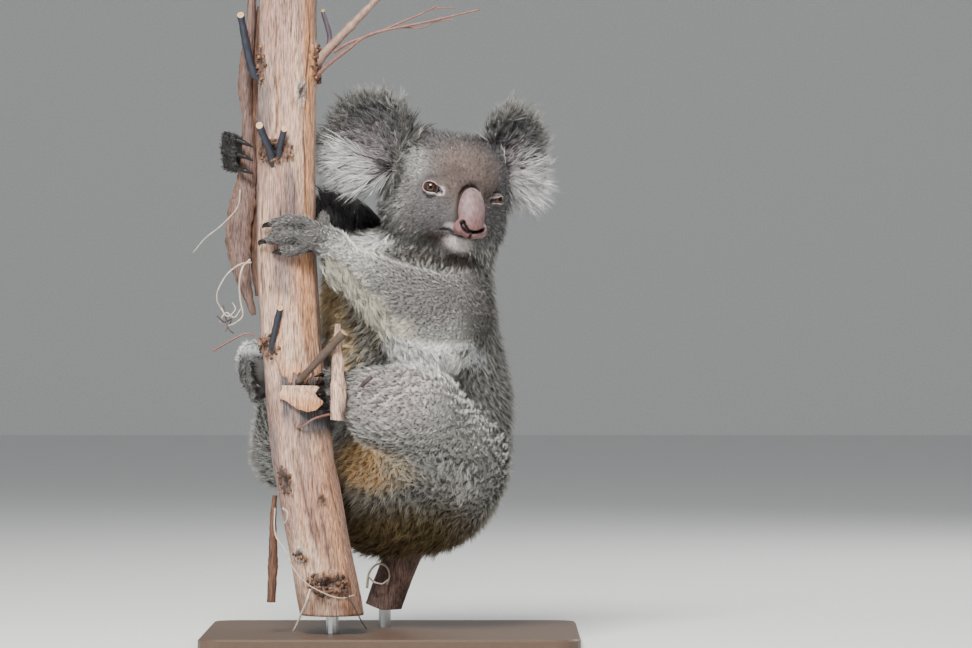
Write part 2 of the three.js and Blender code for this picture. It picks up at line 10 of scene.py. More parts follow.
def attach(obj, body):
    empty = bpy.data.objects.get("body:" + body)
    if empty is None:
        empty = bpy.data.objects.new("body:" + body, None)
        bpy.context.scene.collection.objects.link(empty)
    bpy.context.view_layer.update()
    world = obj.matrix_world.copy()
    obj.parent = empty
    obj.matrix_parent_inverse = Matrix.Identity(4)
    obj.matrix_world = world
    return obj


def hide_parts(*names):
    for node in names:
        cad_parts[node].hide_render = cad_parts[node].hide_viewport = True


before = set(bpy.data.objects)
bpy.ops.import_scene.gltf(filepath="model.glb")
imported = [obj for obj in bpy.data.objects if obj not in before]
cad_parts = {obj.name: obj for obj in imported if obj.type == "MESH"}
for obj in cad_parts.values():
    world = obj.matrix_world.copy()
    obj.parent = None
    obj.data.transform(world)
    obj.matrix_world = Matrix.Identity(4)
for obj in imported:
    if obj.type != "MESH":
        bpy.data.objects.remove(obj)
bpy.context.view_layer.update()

mm = 0.001


def stage(words):
    print("koala:", words, flush=True)


# What a user would change on the whole: camera, light and floor.
studio = {
    "cameraPlace": (0.1034, -5.0, 0.3542),
    "lens": 168.35,
    "sensor": 36.0,
    "floorColour": (0.80, 0.80, 0.78),
    "worldColour": (0.8, 0.85, 0.9),
    "worldStrength": 0.36,
    "floorSize": 24,
    "wallDistance": 9.5,
    # lamp: (place, size, power, colour)
    "lamps": {
        "key": ((-0.40, -1.7, 2.2), 0.8, 138.0, (1.0, 0.98, 0.94)),
        "fill": ((-2.2, -2.2, 1.1), 2.0, 24.0, (0.93, 0.96, 1.0)),
        "back": ((1.3, 1.8, 1.9), 1.2, 40.0, (1.0, 1.0, 1.0)),
    },
    "lampsAim": (0, 0, 0.36),
}

# ---- small tools for making and shaping pieces


def deselectAll():
    if bpy.context.object and bpy.context.object.mode != "OBJECT":
        bpy.ops.object.mode_set(mode="OBJECT")
    bpy.ops.object.select_all(action="DESELECT")


def pick(piece):
    deselectAll()
    piece.select_set(True)
    bpy.context.view_layer.objects.active = piece


def applied(piece, kind, **settings):
    pick(piece)
    modifier = piece.modifiers.new(kind.title(), kind)
    for key, value in settings.items():
        setattr(modifier, key, value)
    bpy.ops.object.modifier_apply(modifier=modifier.name)


def editAll(piece, step, **settings):
    # One edit-mode operator on the whole piece
    pick(piece)
    bpy.ops.object.mode_set(mode="EDIT")
    bpy.ops.mesh.select_all(action="SELECT")
    step(**settings)
    bpy.ops.object.mode_set(mode="OBJECT")


def joined(pieces):
    # The pieces as one object, under the first one's name
    pick(pieces[0])
    for piece in pieces[1:]:
        piece.select_set(True)
    bpy.ops.object.join()


def placesOf(piece):
    places = np.empty(len(piece.data.vertices) * 3)
    piece.data.vertices.foreach_get("co", places)
    return places.reshape(-1, 3)


def setPlaces(piece, places):
    piece.data.vertices.foreach_set("co", np.ascontiguousarray(places, dtype=np.float32).ravel())
    piece.data.update()


def normalsOf(piece):
    normals = np.empty(len(piece.data.vertices) * 3)
    piece.data.vertex_normals.foreach_get("vector", normals)
    return normals.reshape(-1, 3)


def copyOfNodes(nodeNames, pieceName):
    deselectAll()
    for name in nodeNames:
        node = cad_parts[name]
        piece = node.copy()
        piece.data = node.data.copy()
        piece.parent = None
        for key in list(piece.keys()):
            del piece[key]
        bpy.context.scene.collection.objects.link(piece)
        piece.select_set(True)
        bpy.context.view_layer.objects.active = piece
    bpy.ops.object.join()
    piece = bpy.context.view_layer.objects.active
    piece.name = pieceName
    piece.data.materials.clear()
    editAll(piece, bpy.ops.mesh.remove_doubles, threshold=1e-5)
    return piece


def smoothed(piece):
    piece.data.polygons.foreach_set("use_smooth", np.ones(len(piece.data.polygons), dtype=bool))
    piece.data.update()
    return piece


def keep(piece, slot, material, *nodes):
    piece.data.materials.clear()
    piece.data.materials.append(material)
    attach(piece, "root")
    if nodes:
        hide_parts(*nodes)


def unit(vectors):
    return vectors / np.maximum(np.linalg.norm(vectors, axis=-1, keepdims=True), 1e-9)


def ease(values, low, high):
    share = np.clip((values - low) / (high - low), 0, 1)
    return share * share * (3 - 2 * share)


def toLine(points, start, end):
    # Each point's distance from a line, and how far along the line its nearest place is
    line = end - start
    along = np.clip((points - start) @ line / (line @ line), 0, 1)
    return np.linalg.norm(points - start - along[:, None] * line, axis=1), along


def fromMiddle(places, middle, radii):
    # 1 on the surface of the rounded form with these radii, less inside it
    return np.linalg.norm((places - np.array(middle)) / np.array(radii), axis=1)


def flatColour(colour, count):
    return np.tile(np.array(colour), (count, 1))


def layOver(tint, colour, amount):
    # Lays a colour over the tints, by an amount of 0 to 1 at each of them
    tint += amount[:, None] * (np.array(colour) - tint)


def between(first, second, share):
    # From the first colour at share 0 to the second at share 1
    return np.array(first) * (1 - share[:, None]) + np.array(second) * share[:, None]


def someOf(draw, few, most):
    # A random choice of them, at most this many
    return few[draw.permutation(len(few))[: most // 1]]


def ripple(places, size, seed):
    # Soft random waves about 0, the largest of this size
    draw = np.random.default_rng(seed)
    total = np.zeros(len(places))
    for octave in range(3):
        for _ in range(4):
            wave = draw.normal(size=3)
            wave *= 2 * math.pi / (size / 2**octave) / np.linalg.norm(wave)
            total += np.sin(places @ wave + draw.uniform(0, 6.28)) / 2**octave / 4
    return total


def smoothOver(piece, rounds, weights=None):
    # Evens out a surface, more where the weights are high.
    edges = np.empty(len(piece.data.edges) * 2, dtype=np.int64)
    piece.data.edges.foreach_get("vertices", edges)
    first, second = edges.reshape(-1, 2).T
    places = placesOf(piece)
    count = len(places)
    share = np.full(count, 0.6) if weights is None else 0.6 * weights
    degree = np.bincount(first, minlength=count) + np.bincount(second, minlength=count)
    degree = np.maximum(degree, 1)[:, None]
    for _ in range(rounds):
        total = np.empty_like(places)
        for axis in range(3):
            total[:, axis] = np.bincount(first, weights=places[second, axis], minlength=count)
            total[:, axis] += np.bincount(second, weights=places[first, axis], minlength=count)
        places += share[:, None] * (total / degree - places)
    setPlaces(piece, places)


# ---- the koala's build, in millimetres: where each limb runs, and how its coat lies on it

limbs = {
    # name: (from, to, radius or both radii, coat depth, tuft length, spacing, lean in degrees)
    "neck": ((52, 24, 405), (60, 14, 452), 55, 7, 14, 3.3, 34),
    "chest": ((43, 34, 290), (37, 30, 362), 82, 7, 15, 3.3, 34),
    "belly": ((4, 12, 300), (-14, 14, 388), 68, 3, 19, 3.5, 44),
    "rump": ((28, 38, 194), (43, 36, 250), 92, 6, 15, 3.3, 36),
    "seat": ((28, 38, 194), (-8, 34, 170), 80, 7, 16, 3.4, 36),
    "upper_arm_left": ((60, -14, 370), (44, -72, 352), (50, 48), 5.5, 9, 2.6, 30),
    "forearm_left": ((44, -72, 352), (-68, -87, 440), (48, 20), 5.5, 9, 2.6, 30),
    "hand_left": ((-68, -87, 440), (-122, -100, 450), (18, 18), 1.0, 7, 2.1, 24),
    "upper_arm_right": ((24, 84, 386), (-54, 62, 448), 40, 7, 13, 3.6, 34),
    "forearm_right": ((-54, 62, 448), (-146, -8, 515), (31, 18), 6, 11, 3.4, 32),
    "hand_right": ((-146, -8, 515), (-160, -66, 541), (18, 20), 1.0, 7, 2.1, 24),
    "thigh_left": ((71, -12, 204), (26, -98, 262), (60, 46), 6, 12, 2.9, 40),
    "shank_left": ((26, -98, 262), (-43, -88, 281), (45, 20), 6, 11, 2.8, 36),
    "foot_left": ((-43, -88, 281), (-86, -98, 287), (18, 18), 1.0, 7, 2.1, 24),
    "thigh_right": ((13, 88, 193), (-116, 84, 214), 55, 8, 14, 3.8, 36),
    "shank_right": ((-116, 84, 214), (-146, 0, 314), (42, 24), 7, 13, 3.6, 34),
    "foot_right": ((-146, 0, 314), (-152, -70, 298), (20, 18), 1.2, 7, 2.4, 24),
    # the digits that close round the stem from the other side
    "hand_left_first": ((-75, -84, 457), (-76, -48, 471), (9, 7), 0.6, 6, 2.1, 24),
    "hand_left_second": ((-75, -82, 443), (-78, -43, 450), (9, 7), 0.6, 6, 2.1, 24),
    "hand_right_first": ((-132, -15, 545), (-96, -26, 553), (9, 7), 0.6, 6, 2.1, 24),
    "hand_right_second": ((-132, -15, 528), (-94, -28, 529), (9, 7), 0.6, 6, 2.1, 24),
    "foot_left_first": ((-57, -64, 273), (-70, -36, 263), (9, 7), 0.6, 6, 2.1, 24),
    "foot_right_first": ((-131, -19, 288), (-95, -23, 277), (9, 7), 0.6, 6, 2.1, 24),
}
names = list(limbs)
headPlan = {
    "centre": np.array((61.0, 5.0, 491.0)),
    "radii": np.array((72, 66, 72)),
    "yaw": 24.0,
    "roll": 8.0,
    "depth": 6.0,
    "faceDepth": 3.0,
    "length": 12.5,
    "faceLength": 4.6,
    "spacing": 3.2,
    "faceSpacing": 1.9,
    "lean": 28.0,
}
eyePlan = {
    "right": np.array((-38.4, 41.4, 6.0)),
    "left": np.array((39.6, 39.0, 4.6)),
    "radius": 8.5,
}
earPlan = {
    # side: the ear's middle and root in the head's frame, half sizes, and turns in degrees
    "right": {
        "centre": (-93, -13, 51), "root": (-62, -4, 26),
        "wide": 44, "tall": 50, "tilt": 24, "outward": 20,
    },
    "left": {
        "centre": (79, -13, 63), "root": (60, -4, 30),
        "wide": 43, "tall": 49, "tilt": -22, "outward": -22,
    },
}
earCup = -10.0  # how deep the ear's middle lies behind its rim


def turnedAxes(yaw, roll):
    # Rows: to the animal's left, forwards and up
    turn, tilt = math.radians(yaw), math.radians(roll)
    left = (math.cos(turn) * math.cos(tilt), math.sin(turn) * math.cos(tilt), -math.sin(tilt))
    forwards = (math.sin(turn), -math.cos(turn), 0.0)
    up = (math.cos(turn) * math.sin(tilt), math.sin(turn) * math.sin(tilt), math.cos(tilt))
    return np.array([left, forwards, up])


headAxes = turnedAxes(headPlan["yaw"], headPlan["roll"])


def intoHead(places):
    # The head's own frame, in millimetres: x to the animal's left, y forwards and z up
    return (places / mm - headPlan["centre"]) @ headAxes.T


def onHead(local):
    return (np.asarray(local) @ headAxes + headPlan["centre"]) * mm


def outOfHead(directions):
    return np.asarray(directions) @ headAxes


def lineOf(name):
    start, end = (np.array(place, dtype=float) for place in limbs[name][:2])
    radii = limbs[name][2]
    return start, end, radii if isinstance(radii, tuple) else (radii, radii)


def shares(places):
    # How much each limb, and the head at the end, owns of each place
    found = []
    for name in limbs:
        start, end, (first, last) = lineOf(name)
        away, along = toLine(places / mm, start, end)
        found.append(away - (first + (last - first) * along))
    found.append((np.linalg.norm(intoHead(places) / headPlan["radii"], axis=1) - 1) * 68)
    away = np.array(found).T
    away -= away.min(axis=1, keepdims=True)
    weight = np.exp(-away / blendOver)
    return weight / weight.sum(axis=1, keepdims=True)


blendOver = 7.0  # limbs blend into each other over about this many millimetres
masses = [
    # limbs that lie against each other without a fold
    ("neck", "chest", "belly", "rump", "seat"),
    ("upper_arm_left", "forearm_left", "hand_left"),
    ("upper_arm_right", "forearm_right", "hand_right"),
    ("thigh_left", "shank_left", "foot_left"),
    ("thigh_right", "shank_right", "foot_right"),
]


def creaseShare(places, weights):
    # 1 along the folds where one limb lies against another, or against the trunk or head
    columns = [[names.index(name) for name in names if name.startswith(mass)] for mass in masses]
    owned = [weights[:, mass].sum(axis=1) for mass in columns]
    owned = np.sort(np.stack(owned + [weights[:, -1]], axis=1), axis=1)
    margin = owned[:, -1] - owned[:, -2]
    atBack = ease(places[:, 0] / mm, 60, 95)
    return np.exp(-((margin / 0.42) ** 2)) * (1 - atBack)


def faceShare(local):
    # 1 on the face, 0 on the back of the head
    return ease(local[:, 1], 2, 46)


stemRoute = np.array(
    # x and z of the stem's middle line, which runs all at one y
    [
        (-62.0, 30), (-79, 119), (-95, 206), (-102, 272), (-109, 337), (-113, 420), (-114, 520), (-113, 620),
        (-111, 732),
    ]
)
stemY = -60.0


def stemMiddle(height):
    return np.interp(height, stemRoute[:, 1], stemRoute[:, 0])


def toStem(places):
    # Unit vectors towards the stem's middle line
    out = np.zeros_like(places)
    out[:, 0] = stemMiddle(places[:, 2] / mm) - places[:, 0] / mm
    out[:, 1] = stemY - places[:, 1] / mm
    return unit(out)


# ---- the skin: one closed surface under the whole coat

fleshNodes = ["head", "neck", "chest", "rump"] + [
    limb + side
    for limb in ("upper_arm_", "forearm_", "hand_", "thigh_", "shank_", "foot_")
    for side in ("left", "right")
]
skinPlan = {
    "grow": 0.0012,
    "voxel": 0.0032,
    "fineVoxel": 0.0029,
    "digitSmooth": 0.02,
    "crease": 7.0,  # how much deeper the skin lies in a fold, in millimetres
    "earThick": 4.4,
    "digitRadius": 7.5,
}
digitNames = tuple(name for name in names if name.startswith(("hand", "foot")))
digitColumns = [names.index(name) for name in digitNames]


def digitShare(weights):
    return ease(weights[:, digitColumns].sum(axis=1), 0.2, 0.7)


def ball(segments, rings):
    deselectAll()
    bpy.ops.mesh.primitive_uv_sphere_add(segments=segments, ring_count=rings, radius=1)
    return bpy.context.object


def earShell(side):
    # A round ball pressed flat and cupped
    plan = earPlan[side]
    ear = ball(64, 40)
    places = placesOf(ear)
    cup = earCup * (1 - np.hypot(places[:, 0], places[:, 2]) ** 2)
    forwards = places[:, 1] * skinPlan["earThick"] + cup
    local = np.stack([places[:, 0] * plan["wide"], forwards, places[:, 2] * plan["tall"]], axis=1)
    setPlaces(ear, onHead(turnedEar(local, plan) + np.array(plan["centre"])))
    return ear


def turnedEar(local, plan, back=False):
    out, tilt = math.radians(plan["outward"]), math.radians(plan["tilt"])
    turnZ = np.array([(math.cos(out), math.sin(out), 0), (-math.sin(out), math.cos(out), 0), (0, 0, 1)])
    turnY = np.array([(math.cos(tilt), 0, -math.sin(tilt)), (0, 1, 0), (math.sin(tilt), 0, math.cos(tilt))])
    turn = turnY @ turnZ
    return local @ (turn.T if back else turn)


def plumpDigit(name, radius):
    # One digit as a long rounded form along its line
    start, end, _ = lineOf(name)
    digit = ball(24, 16)
    along = 0.62 * (end - start)
    side = unit(np.cross(along, (0, 0, 1)))
    up = unit(np.cross(along, side))
    across, rise, run = placesOf(digit).T[:, :, None]
    setPlaces(digit, ((start + end) / 2 + run * along + radius * (across * side + rise * up)) * mm)
    return digit


def makeSkin():
    skin = copyOfNodes(fleshNodes, "koalaSkin")
    joined([skin, plumpDigit("hand_right_first", skinPlan["digitRadius"])])
    applied(skin, "DISPLACE", strength=skinPlan["grow"], mid_level=0.0)
    applied(skin, "REMESH", mode="VOXEL", voxel_size=skinPlan["voxel"])
    places = placesOf(skin)
    weights = shares(places)
    digit = digitShare(weights)
    onHeadNow = weights[:, -1]
    softness = (1 - digit) * (1 - 0.6 * onHeadNow) + digit * skinPlan["digitSmooth"]
    smoothOver(skin, 20, softness)
    places, normals = placesOf(skin), normalsOf(skin)
    weights = shares(places)
    local = intoHead(places)
    face = faceShare(local) * onHeadNow
    headDepth = headPlan["depth"] + (headPlan["faceDepth"] - headPlan["depth"]) * faceShare(local)
    depth = weights @ np.array([plan[3] for plan in limbs.values()] + [0.0]) + onHeadNow * headDepth
    gripping = np.clip((normals * toStem(places)).sum(axis=1), 0, 1) * digit
    depth *= 1 - 0.95 * gripping
    depth += skinPlan["crease"] * creaseShare(places, weights) * (1 - digit)
    setPlaces(skin, places - normals * depth[:, None] * mm)
    smoothOver(skin, 5, 0.04 + 0.96 * (1 - digit) * (1 - 0.6 * face))
    joined([skin] + [earShell(side) for side in ("right", "left")])
    applied(skin, "REMESH", mode="VOXEL", voxel_size=skinPlan["fineVoxel"])
    smoothOver(skin, 5, 1 - 0.9 * digitShare(shares(placesOf(skin))))
    return skin


skin = makeSkin()
stage(f"skin of {len(skin.data.vertices)} points")

# ---- the face: lids, muzzle, mouth and chin

facePlan = {
    # half width, rise of the upper lid and drop of the lower one
    "eyeOpening": {"right": (8.1, 6.2, 5.4), "left": (7.4, 3.9, 3.7)},
    "canthus": 3.8,  # how far the inner corner draws out towards the nose
    "lidSteps": [
        # how far out from the opening, how far above the ball, share of the skin's own height
        (0.90, -1.6, 0.0), (0.955, 0.05, 0.0), (0.985, 0.7, 0.0), (1.05, 1.25, 0.0), (1.16, 1.5, 0.0),
        (1.28, 1.1, 0.15), (1.42, 1.05, 0.4), (1.62, 0.6, 0.75), (1.86, 0.25, 0.95), (2.1, -0.1, 1.0),
        (2.3, -1.3, 1.0), (2.2, -5.0, 1.0), (1.5, -7.0, 1.0), (1.0, -5.5, 0.4),
    ],
    "lidSpare": 0.7,  # least height of the lid above the ball
    "mouthDepth": 3.2,
    "chin": (-4.5, 52.0, -53.0),
}
for side, sign in (("right", -1), ("left", 1)):
    # rows: towards the nose, up and out of the head, as the eye lies in it
    ahead = unit(np.array((sign * 0.63, 0.77, 0.05)))
    inward = unit(np.cross(ahead, (0, 0, 1)) * -sign)
    inward = unit(inward + np.array((0, 0, -0.16)))
    eyePlan[side + "Axes"] = np.array([inward, np.cross(inward, ahead) * -sign, ahead])
    eyePlan[side + "Axes"][1] *= np.sign(eyePlan[side + "Axes"][1, 2])


def openingAt(turns, side):
    # The lid's edge at each turn round the eye
    wide, rise, drop = facePlan["eyeOpening"][side]
    across = wide * np.cos(turns)
    height = np.sin(turns)
    upward = np.where(height > 0, rise, drop) * np.sign(height) * np.abs(height) ** 0.85
    corner = ease(np.cos(turns), 0.55, 1.0)
    across = across + facePlan["canthus"] * corner
    upward = upward * (1 - 0.35 * corner) - 1.2 * corner + 0.5 * ease(-np.cos(turns), 0.6, 1.0)
    return across, upward


def openingShare(across, upward, side):
    # 1 at the lids' edge, less inside the opening and more outside it
    wide, _, drop = facePlan["eyeOpening"][side]
    turns = np.arctan2(upward / drop, across / wide)
    edgeAcross, edgeUp = openingAt(turns, side)
    return np.hypot(across, upward) / np.hypot(edgeAcross, edgeUp)


def refineFace(piece):
    pick(piece)
    local = intoHead(placesOf(piece))
    chosen = (local[:, 1] > 22) & (np.abs(local[:, 0]) < 60)
    chosen &= (local[:, 2] > -66) & (local[:, 2] < 30)
    chosen &= np.linalg.norm(local / np.array((74, 92, 80)), axis=1) < 1.05
    bpy.ops.object.mode_set(mode="EDIT")
    bpy.ops.mesh.select_all(action="DESELECT")
    bpy.ops.object.mode_set(mode="OBJECT")
    piece.data.vertices.foreach_set("select", chosen)
    bpy.ops.object.mode_set(mode="EDIT")
    bpy.ops.mesh.select_mode(type="VERT")
    bpy.ops.mesh.subdivide(number_cuts=2, quadcorner="INNERVERT")
    bpy.ops.object.mode_set(mode="OBJECT")
    local = intoHead(placesOf(piece))
    near = ease(local[:, 1], 20, 26) * (1 - ease(np.abs(local[:, 0]), 58, 64))
    smoothOver(piece, 4, near)


# Rises and hollows, in the head's frame: (middle, radii, height)
pairedBumps = {
    "lipPads": ((22, 58, -27), (13, 14, 11), 2.4),
    "cheeks": ((46, 34, -22), (22, 22, 20), 2.2),
    "brows": ((38, 46, 23), (16, 14, 7), 1.6),
    "besideNoseTop": ((25, 56, 3), (7, 12, 12), -2.0),
    "besideNose": ((19, 60, -12), (4, 14, 22), -1.2),
}
middleBumps = {
    "chin": (facePlan["chin"], (18, 16, 11), 9.0),
    "foldOverNose": ((0, 64, 20), (14, 12, 5), 1.6),
}


def mouthLine(local):
    # The height of the line between the lips, which curls up at the corners
    across = np.abs(local[:, 0])
    return -41.6 + 4.8 * ease(across, 11, 18) - 0.8 * ease(across, 20, 27)


def sculptFace(piece):
    local = intoHead(placesOf(piece))
    outward = normalsOf(piece) @ headAxes.T
    front = ease(local[:, 1], 26, 40) * (1 - ease(np.linalg.norm(local, axis=1), 88, 100))
    raised = np.zeros(len(local))

    def bump(middle, radii, height):
        raised[:] += front * height * np.exp(-1.6 * fromMiddle(local, middle, radii) ** 2)

    for sign in (-1, 1):
        for (across, ahead, up), radii, height in pairedBumps.values():
            bump((sign * across, ahead, up), radii, height)
    for centre, radii, height in middleBumps.values():
        bump(centre, radii, height)
    along = 1 - ease(np.abs(local[:, 0]), 21, 28)
    lips = np.exp(-(((local[:, 2] - mouthLine(local)) / 1.3) ** 2))
    raised -= front * along * facePlan["mouthDepth"] * lips
    raised -= 1.6 * front * noseEdge(local)
    setPlaces(piece, onHead(local + outward * raised[:, None]))


def noseEdge(local):
    # 1 in the crease round the top and sides of the nose
    reach = np.hypot((local[:, 0] - 1.6) / 15.4, (local[:, 2] + 14.5) / 28.0)
    here = ease(local[:, 2], -22, -8) * ease(local[:, 1], 30, 40)
    here *= ease(local[:, 0] + 0.6 * local[:, 2], -16, -2)
    return np.exp(-(((reach - 1.0) / 0.085) ** 2)) * here


def sinkEyes(piece):
    local = intoHead(placesOf(piece))
    for side in ("right", "left"):
        axes = eyePlan[side + "Axes"]
        own = (local - eyePlan[side]) @ axes.T
        share = openingShare(own[:, 0], own[:, 1], side)
        sink = (own[:, 2] > -4) & (share < 2.3) & (np.hypot(own[:, 0], own[:, 1]) < 22)
        own[:, 2] -= sink * 7.0 * (1 - ease(share, 1.35, 1.95))
        local = np.where(sink[:, None], own @ axes + eyePlan[side], local)
    setPlaces(piece, onHead(local))


def ringMesh(name, loops):
    # Closed loops of points joined one to the next, and the last to the first
    count, size = len(loops), len(loops[0])
    faces = []
    for ring in range(count):
        after = (ring + 1) % count
        for k in range(size):
            nextK = (k + 1) % size
            faces.append((ring * size + k, ring * size + nextK, after * size + nextK, after * size + k))
    mesh = bpy.data.meshes.new(name)
    mesh.from_pydata(np.concatenate(loops).tolist(), [], faces)
    piece = bpy.data.objects.new(name, mesh)
    bpy.context.scene.collection.objects.link(piece)
    editAll(piece, bpy.ops.mesh.normals_make_consistent, inside=False)
    return smoothed(piece)


def makeLids(side, surface):
    # A soft ring from the ball's own surface out into the skin around it
    axes, centre, radius = eyePlan[side + "Axes"], eyePlan[side], eyePlan["radius"]
    turns = np.arange(72) * 2 * math.pi / 72
    across, upward = openingAt(turns, side)
    ahead = Vector(outOfHead([axes[2]])[0])

    def ground(a, u):
        start = onHead([centre + axes[0] * a + axes[1] * u + axes[2] * 40])[0]
        hit = surface.ray_cast(Vector(start), -ahead)[0]
        if hit is None:
            return 0.0
        return float((intoHead(np.array([hit]))[0] - centre) @ axes[2])

    loops = []
    for out, above, share in facePlan["lidSteps"]:
        loop = []
        for a, u in zip(across * out, upward * out):
            height = math.sqrt(max((radius + above) ** 2 - a * a - u * u, 0.0))
            if share:
                height = (1 - share) * height + share * (ground(a, u) + above)
            if 1 < out < 2:
                spare = radius + facePlan["lidSpare"]
                height = max(height, math.sqrt(max(spare**2 - a * a - u * u, 0.0)))
            loop.append(centre + axes[0] * a + axes[1] * u + axes[2] * height)
        loops.append(onHead(np.array(loop)))
    return ringMesh("lids" + side.title(), loops)


refineFace(skin)
sculptFace(skin)
surface = BVHTree.FromObject(skin, bpy.context.evaluated_depsgraph_get())
lids = [makeLids(side, surface) for side in ("right", "left")]
sinkEyes(skin)
joined([skin] + lids)
stage(f"face, skin now of {len(skin.data.vertices)} points")

# ---- the coat: colours and lie at any place on the skin

coatColours = {
    # name: (tips, roots)
    "grey": ((0.52, 0.51, 0.475), (0.13, 0.127, 0.12)),
    "darkGrey": ((0.38, 0.37, 0.355), (0.09, 0.087, 0.083)),
    "brownGrey": ((0.215, 0.168, 0.150), (0.075, 0.057, 0.050)),
    "cheek": ((0.225, 0.212, 0.212), (0.036, 0.034, 0.035)),
    "bridge": ((0.11, 0.082, 0.074), (0.045, 0.034, 0.031)),
    "white": ((0.92, 0.92, 0.91), (0.46, 0.47, 0.48)),
    "whiter": ((1.0, 1.0, 0.98), (0.66, 0.65, 0.63)),
    "cream": ((0.88, 0.84, 0.72), (0.36, 0.33, 0.26)),
    "gold": ((1.0, 0.80, 0.50), (0.50, 0.30, 0.14)),
    "rust": ((0.16, 0.07, 0.026), (0.032, 0.013, 0.006)),
    "olive": ((0.24, 0.175, 0.075), (0.05, 0.033, 0.014)),
    # painted shade: under the chin, the jaw and on the far shoulder
    "paintedShadeBrown": ((0.085, 0.06, 0.048), (0.018, 0.013, 0.011)),
    "bright": ((0.78, 0.77, 0.73), (0.17, 0.165, 0.155)),
    "armGrey": ((0.34, 0.32, 0.31), (0.06, 0.057, 0.055)),
    "handGrey": ((0.30, 0.285, 0.275), (0.035, 0.034, 0.033)),
    "pale": ((0.52, 0.48, 0.47), (0.30, 0.26, 0.25)),
    "rim": ((0.33, 0.32, 0.30), (0.06, 0.058, 0.057)),
    "noseShade": ((0.035, 0.024, 0.021), (0.015, 0.011, 0.010)),
    "lid": ((0.33, 0.225, 0.21), (0.29, 0.195, 0.185)),
    "lidPale": ((0.60, 0.54, 0.54), (0.5, 0.44, 0.44)),
    # painted shade beneath the chin
    "paintedShadeBlack": ((0.018, 0.014, 0.011), (0.006, 0.005, 0.004)),
    "lidEdge": ((0.07, 0.045, 0.042), (0.05, 0.033, 0.032)),
    "earDark": ((0.17, 0.162, 0.165), (0.045, 0.042, 0.043)),
    "earSkin": ((0.30, 0.22, 0.215), (0.17, 0.12, 0.115)),
}
# Each marking: (colour, centre, radii, strength), in millimetres; later ones lie over earlier ones.
bodyMarks = [
    ("pale", (20, -110, 275), (75, 60, 46), 0.75),
    ("bright", (66, -90, 255), (70, 66, 60), 1.0),
    ("darkGrey", (136, 30, 300), (40, 90, 120), 0.6),
    ("bright", (-36, -110, 440), (44, 60, 26), 0.9),
    ("armGrey", (34, -110, 388), (64, 70, 46), 1.0),
    ("armGrey", (92, -40, 370), (40, 80, 50), 0.9),
    ("cream", (-50, -90, 392), (28, 60, 24), 0.95),
    ("cream", (-28, -90, 366), (32, 60, 24), 1.0),
    ("cream", (0, -90, 344), (36, 60, 21), 1.0),
    ("whiter", (30, -90, 321), (42, 66, 17), 1.0),
    ("whiter", (66, -84, 321), (46, 66, 16), 1.0),
    ("white", (98, -70, 318), (34, 66, 14), 0.9),
    ("cream", (-28, -20, 330), (44, 50, 24), 0.7),
    ("whiter", (-30, -30, 444), (32, 60, 17), 1.0),
    ("gold", (-62, -4, 376), (30, 60, 32), 1.0),
    ("white", (-160, 2, 340), (44, 60, 34), 1.0),
    ("gold", (-22, -44, 204), (58, 72, 34), 1.0),
    ("cream", (14, -60, 200), (34, 50, 22), 0.7),
    ("olive", (6, 10, 128), (105, 105, 46), 0.95),
    ("rust", (-66, -6, 156), (26, 70, 38), 1.0),
    # painted shade on the far shoulder under the ear, and under the chin where the head meets the arm
    ("paintedShadeBrown", (-38, 62, 474), (52, 52, 34), 0.95),
    ("paintedShadeBrown", (74, -40, 424), (30, 60, 9), 0.9),
    ("paintedShadeBrown", (30, -44, 430), (36, 44, 7), 0.7),
    ("cream", (120, 70, 150), (46, 66, 50), 0.45),
]
headMarks = [
    # in the head's own frame
    ("bright", (-56, 10, -30), (30, 40, 40), 0.55),
    ("bright", (-52, 10, 30), (20, 40, 26), 0.5),
    # painted shade round the nose
    ("noseShade", (0, 62, -12), (18, 32, 31), 0.6),
    ("brownGrey", (0, 60, 30), (48, 60, 50), 0.95),
    ("brownGrey", (0, 70, 5), (36, 40, 34), 0.8),
    ("bridge", (0, 66, 9), (24, 30, 17), 0.8),
    ("bridge", (-24, 58, 2), (9, 20, 12), 0.6),
    ("bridge", (24, 58, 2), (9, 20, 12), 0.6),
    ("cheek", (-44, 50, -24), (34, 40, 34), 0.8),
    ("cheek", (44, 50, -24), (34, 40, 34), 0.8),
    ("pale", (-18, 66, -33), (8, 20, 5), 0.6),
    ("pale", (20, 66, -33), (8, 20, 5), 0.4),
    ("bridge", (-20, 60, 25), (18, 30, 13), 0.8),
    # painted shade under the jaw and the chin
    ("paintedShadeBrown", (-30, 48, -48), (20, 24, 12), 0.7),
    ("paintedShadeBrown", (-10, 44, -62), (44, 40, 12), 0.85),
    # painted shade beneath the chin
    ("paintedShadeBlack", (-4, 38, -70), (42, 38, 13), 1.0),
    ("pale", (-5, 56, -54), (21, 26, 12.5), 1.0),
]


def dye(tips, roots, name, amount):
    layOver(tips, coatColours[name][0], amount)
    layOver(roots, coatColours[name][1], amount)


def marked(places, marks, tips, roots):
    for name, centre, radii, strength in marks:
        dye(tips, roots, name, strength * (1 - ease(fromMiddle(places, centre, radii), 0.5, 1.2)))


def earPlace(places, side):
    # The ear's own frame: x across, y forwards and z up, from the ear's middle, in millimetres
    plan = earPlan[side]
    return turnedEar(intoHead(places) - np.array(plan["centre"]), plan, back=True)


def earShare(places, side):
    # How much the ear owns of each place, the place in its frame, and how near its rim it is
    local = earPlace(places, side)
    plan = earPlan[side]
    reach = np.hypot(local[:, 0] / plan["wide"], local[:, 2] / plan["tall"])
    cup = earCup * (1 - np.minimum(reach, 1) ** 2)
    inDisc = 1 - ease(reach, 1.05, 1.2)
    return inDisc * (1 - ease(np.abs(local[:, 1] - cup), 6, 10)), local, reach


